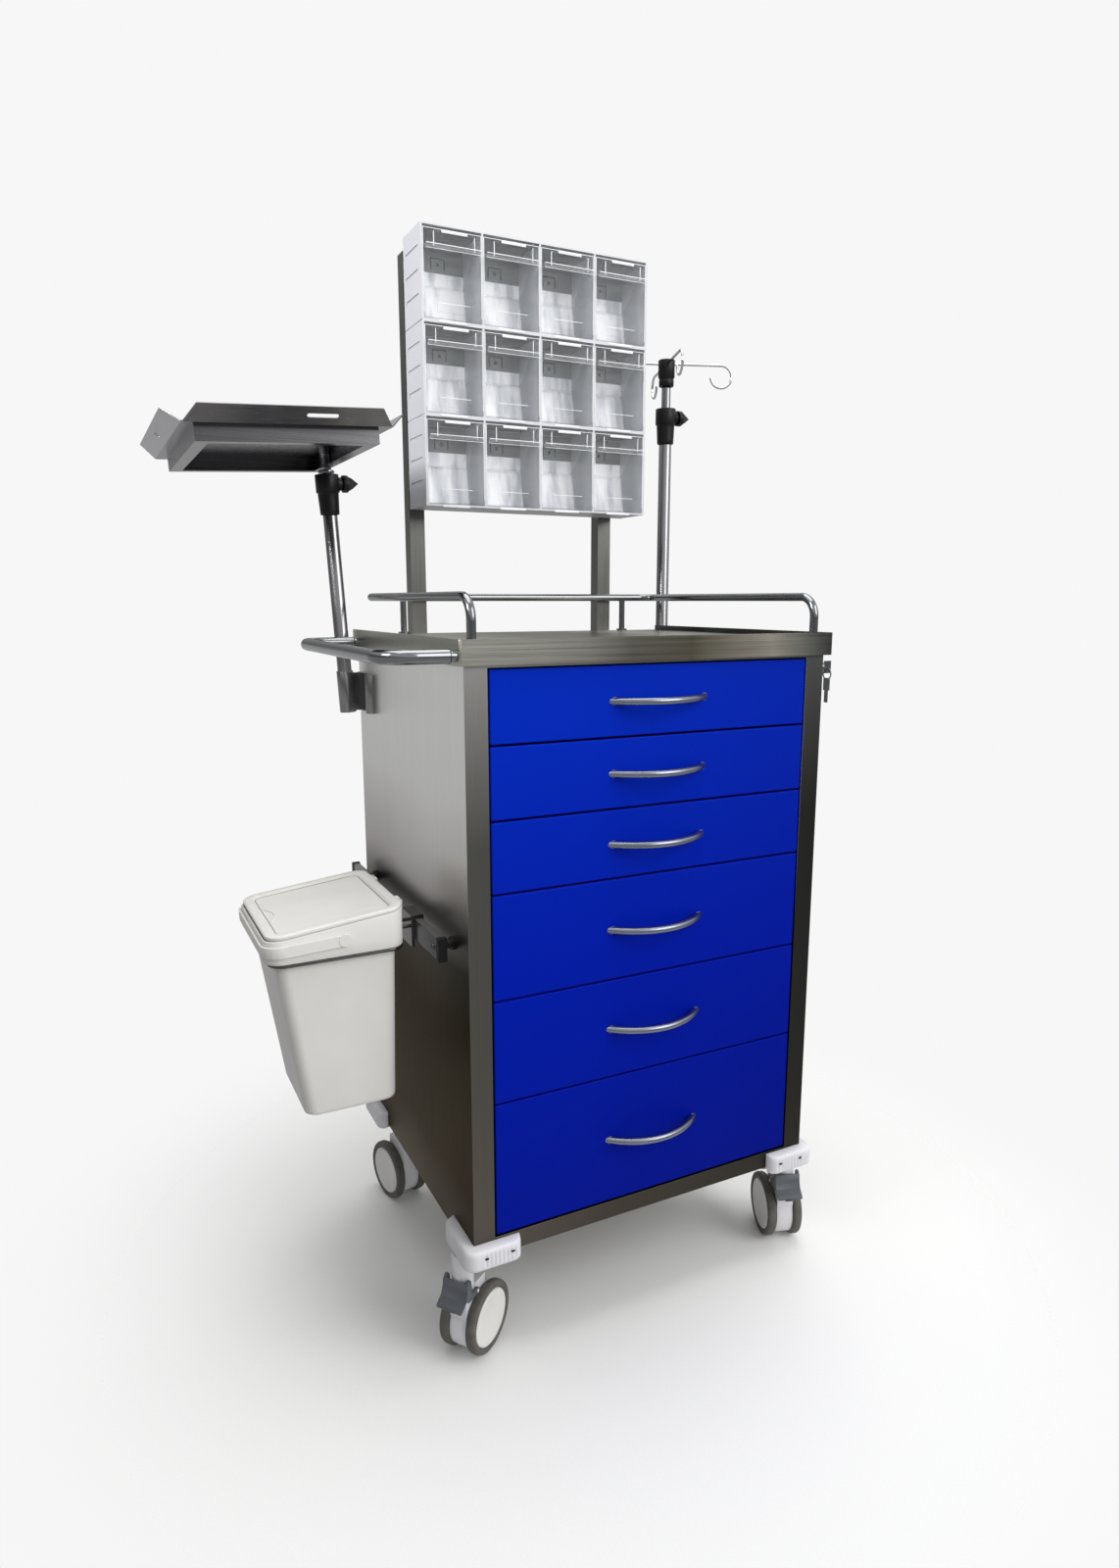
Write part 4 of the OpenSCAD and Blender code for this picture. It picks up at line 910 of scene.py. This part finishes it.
def build_bin_details():
    """Blank labels, white strips, painted light and shade sheets and catches of the tilt-out bins and their
    housings.
    """
    low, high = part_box("bin_housings")
    front = low.y
    half = 46.4 * MM
    labels, painted_light_backs, painted_shade_backs, catches = [], [], [], []
    for row in (1, 2, 3):
        for column in (1, 2, 3, 4):
            name = f"bin_r{row}c{column}"
            pivot = Vector(JOINTS[f"{name}_tilt"]["pos_m"])
            floor = pivot.z - 8.5 * MM
            labels.append(block_data((pivot.x - 23 * MM, front - 0.9 * MM, floor - 1.6 * MM),
                                     (pivot.x + 21 * MM, front - 0.1 * MM, floor + 1.9 * MM), 0.3 * MM))
            # painted light low on each compartment's back wall, and a grey sheet of painted shade above it
            for group, foot, top in ((painted_light_backs, 4, 90), (painted_shade_backs, 90, 129)):
                group.append(block_data((pivot.x - half, high.y - 3.2 * MM, floor + foot * MM),
                                        (pivot.x + half, high.y - 1.2 * MM, floor + top * MM), 0.3 * MM))
            wall = pivot.y - 6.1 * MM
            # a white strip near the top of each bin's front wall
            card = block_data((pivot.x - 17 * MM, wall - 0.2 * MM, pivot.z + 113.5 * MM),
                              (pivot.x + 24 * MM, wall + 0.8 * MM, pivot.z + 117 * MM), 0.3 * MM)
            back = high.y - 3.9 * MM
            middle = pivot.x + 4 * MM
            for x0, x1, z0, z1 in CATCH_BARS:
                catches.append(block_data((middle + x0 * MM, back, floor + z0 * MM),
                                          (middle + x1 * MM, back + 0.6 * MM, floor + z1 * MM), 0.2 * MM))
            add_piece(f"white_top_strip_{name}", *card, MAT["card"], name)
            sheet = add_piece(f"back_sheet_{name}", *bin_back_sheet(pivot), MAT["sheet"], name)
            # painted highlights: glowing bars along the bin's edges
            edges = add_piece(f"edges_{name}", *joined(bin_painted_glints(pivot)), MAT["glint"], name)
    add_piece("bin_labels", *joined(labels), MAT["card"], "cart")
    add_piece("painted_light_housing_backs", *joined(painted_light_backs), MAT["sheet"], "cart")
    add_piece("painted_shade_housing_backs", *joined(painted_shade_backs), MAT["back"], "cart")
    add_piece("bin_catches", *joined(catches), MAT["seam"], "cart")


# ---------------------------------------------------------------- small steel details

def build_handle_seams():
    """Dark rings where the push handle's tube meets its narrower spigots."""
    low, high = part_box("push_handle")
    radius = (high.z - low.z) / 2
    z = (high.z + low.z) / 2
    x = high.x - 8 * MM
    outline = [(7.2, -0.2), (9.15, -0.2), (9.15, -1.1), (8.9, -1.4), (7.2, -1.4)]
    profile = [(r * MM, h * MM) for r, h in outline]
    rings = []
    for y in (low.y + radius, high.y - radius):
        rings.append(lathe_data(profile, axis_matrix((x, y, z), (1, 0, 0)), 40))
    add_piece("handle_seams", *joined(rings), MAT["seam"], "cart")


# ---------------------------------------------------------------- stage, light, camera

def floor_paper():
    """Matt white paper that fades into the pale background away from the cart."""
    material, tree, shader = new_material("floor_paper", Roughness=0.95, Specular_IOR_Level=0.0)
    fibre = noise(tree, (300.0, 300.0, 300.0), 3.0)
    white = ramp(tree, fibre, [(0.3, rgb(237, 237, 236)), (0.7, rgb(240, 240, 239))])
    tree.links.new(white, shader.inputs["Base Color"])
    # metres from the cart's middle where the paper starts to fade and where it is gone
    solid, gone = 0.25, 1.0
    distance = tree.nodes.new("ShaderNodeVectorMath")
    distance.operation = "LENGTH"
    tree.links.new(coordinates(tree), distance.inputs[0])
    fade = tree.nodes.new("ShaderNodeMapRange")
    fade.interpolation_type = "SMOOTHSTEP"
    for key, number in (("From Min", solid), ("From Max", gone), ("To Min", 1.0), ("To Max", 0.0)):
        fade.inputs[key].default_value = number
    tree.links.new(distance.outputs["Value"], fade.inputs["Value"])
    tree.links.new(fade.outputs["Result"], shader.inputs["Alpha"])
    return material


def build_stage():
    """A round sheet of floor paper under the cart."""
    floor = bpy.data.meshes.new("floor")
    count = 48
    angles = [2 * math.pi * k / count for k in range(count)]
    rings = [[(r * math.cos(a), r * math.sin(a), 0.0) for a in angles] for r in (0.4, 1.0, 1.8)]
    verts = [point for ring in rings for point in ring]
    faces = [tuple(range(count))]
    for i in range(len(rings) - 1):
        for k in range(count):
            after = (k + 1) % count
            faces.append((i * count + k, (i + 1) * count + k, (i + 1) * count + after, i * count + after))
    floor.from_pydata(verts, [], faces)
    piece = bpy.data.objects.new("floor", floor)
    bpy.context.scene.collection.objects.link(piece)
    floor.materials.append(floor_paper())


def add_light(name, position, target, size, watts, beam=180):
    """A rectangular lamp aimed at target; beam is its spread in degrees."""
    lamp = bpy.data.lights.new(name, "AREA")
    lamp.shape = "RECTANGLE"
    lamp.size, lamp.size_y = size
    lamp.energy = watts
    lamp.spread = math.radians(beam)
    holder = bpy.data.objects.new(name, lamp)
    holder.location = position
    holder.rotation_euler = (Vector(target) - Vector(position)).to_track_quat("-Z", "Y").to_euler()
    bpy.context.scene.collection.objects.link(holder)


def sky_colour(tree, axis, stops):
    """Colour of the surroundings by how far a direction leans along axis, -1 to 1."""
    direction = tree.nodes.new("ShaderNodeTexCoord")
    lean = tree.nodes.new("ShaderNodeVectorMath")
    lean.operation = "DOT_PRODUCT"
    tree.links.new(direction.outputs["Generated"], lean.inputs[0])
    lean.inputs[1].default_value = Vector(axis).normalized()
    return ramp(tree, spread(tree, lean.outputs["Value"], 0.0, 1.0, -1.0, 1.0), stops)


def build_world():
    """Pale to the camera; soft light from the front right; mirrors see a dark horizon."""
    world = bpy.data.worlds.new("studio")
    bpy.context.scene.world = world
    world.use_nodes = True
    tree = world.node_tree
    output = tree.nodes["World Output"]
    path = tree.nodes.new("ShaderNodeLightPath")

    def grey(level):
        return (level, level, level, 1.0)

    soft = tree.nodes["Background"]
    tree.links.new(sky_colour(tree, (0.55, -0.55, 0.63), [
        (0.0, grey(0.10)), (0.45, grey(0.2)), (0.7, grey(0.6)), (1.0, grey(1.0))]), soft.inputs["Color"])
    mirror = tree.nodes.new("ShaderNodeBackground")
    tree.links.new(sky_colour(tree, (0.12, -0.12, 1.0), [
        (0.0, grey(0.5)), (0.4, grey(0.55)), (0.48, grey(0.22)), (0.56, grey(0.3)), (0.68, grey(0.85)),
        (0.8, grey(1.0)), (1.0, grey(0.75))]), mirror.inputs["Color"])
    plain = tree.nodes.new("ShaderNodeBackground")
    plain.inputs["Color"].default_value = rgb(247, 247, 247)
    first = tree.nodes.new("ShaderNodeMixShader")
    tree.links.new(path.outputs["Is Glossy Ray"], first.inputs[0])
    tree.links.new(soft.outputs[0], first.inputs[1])
    tree.links.new(mirror.outputs[0], first.inputs[2])
    second = tree.nodes.new("ShaderNodeMixShader")
    tree.links.new(path.outputs["Is Camera Ray"], second.inputs[0])
    tree.links.new(first.outputs[0], second.inputs[1])
    tree.links.new(plain.outputs[0], second.inputs[2])
    tree.links.new(second.outputs[0], output.inputs["Surface"])


def build_camera():
    """Stands front left of the cart at the height of its worktop, looking a little down."""
    data = bpy.data.cameras.new("camera")
    data.sensor_width = 36.0
    data.lens = 22.29
    data.clip_end = 60.0
    camera = bpy.data.objects.new("camera", data)
    camera.location = (-0.6999, -1.3214, 1.0449)
    camera.rotation_euler = (math.radians(79.3), 0.0, math.radians(-26.8))
    bpy.context.scene.collection.objects.link(camera)
    bpy.context.scene.camera = camera
    bpy.context.scene.view_settings.view_transform = "Standard"


dress_cad_nodes()
for number in range(1, 7):
    build_drawer_front(number)
for corner in ("fl", "fr", "rl", "rr"):
    build_wheels(corner)
for corner in ("fl", "fr"):
    build_pedal(corner)
build_bumpers()
build_waste_bin()
build_waste_lid()
build_iv_head()
build_bin_details()
build_handle_seams()
build_stage()
build_world()
add_light("key", (1.6, -2.8, 2.6), (0, 0, 0.8), (2.2, 2.2), 60)
add_light("rack_side", (-1.9, -0.3, 2.3), (-0.1, 0.15, 1.45), (0.8, 0.8), 4, beam=50)
add_light("top", (0.0, 0.2, 3.6), (0, 0, 0.5), (2.6, 2.4), 62)
build_camera()
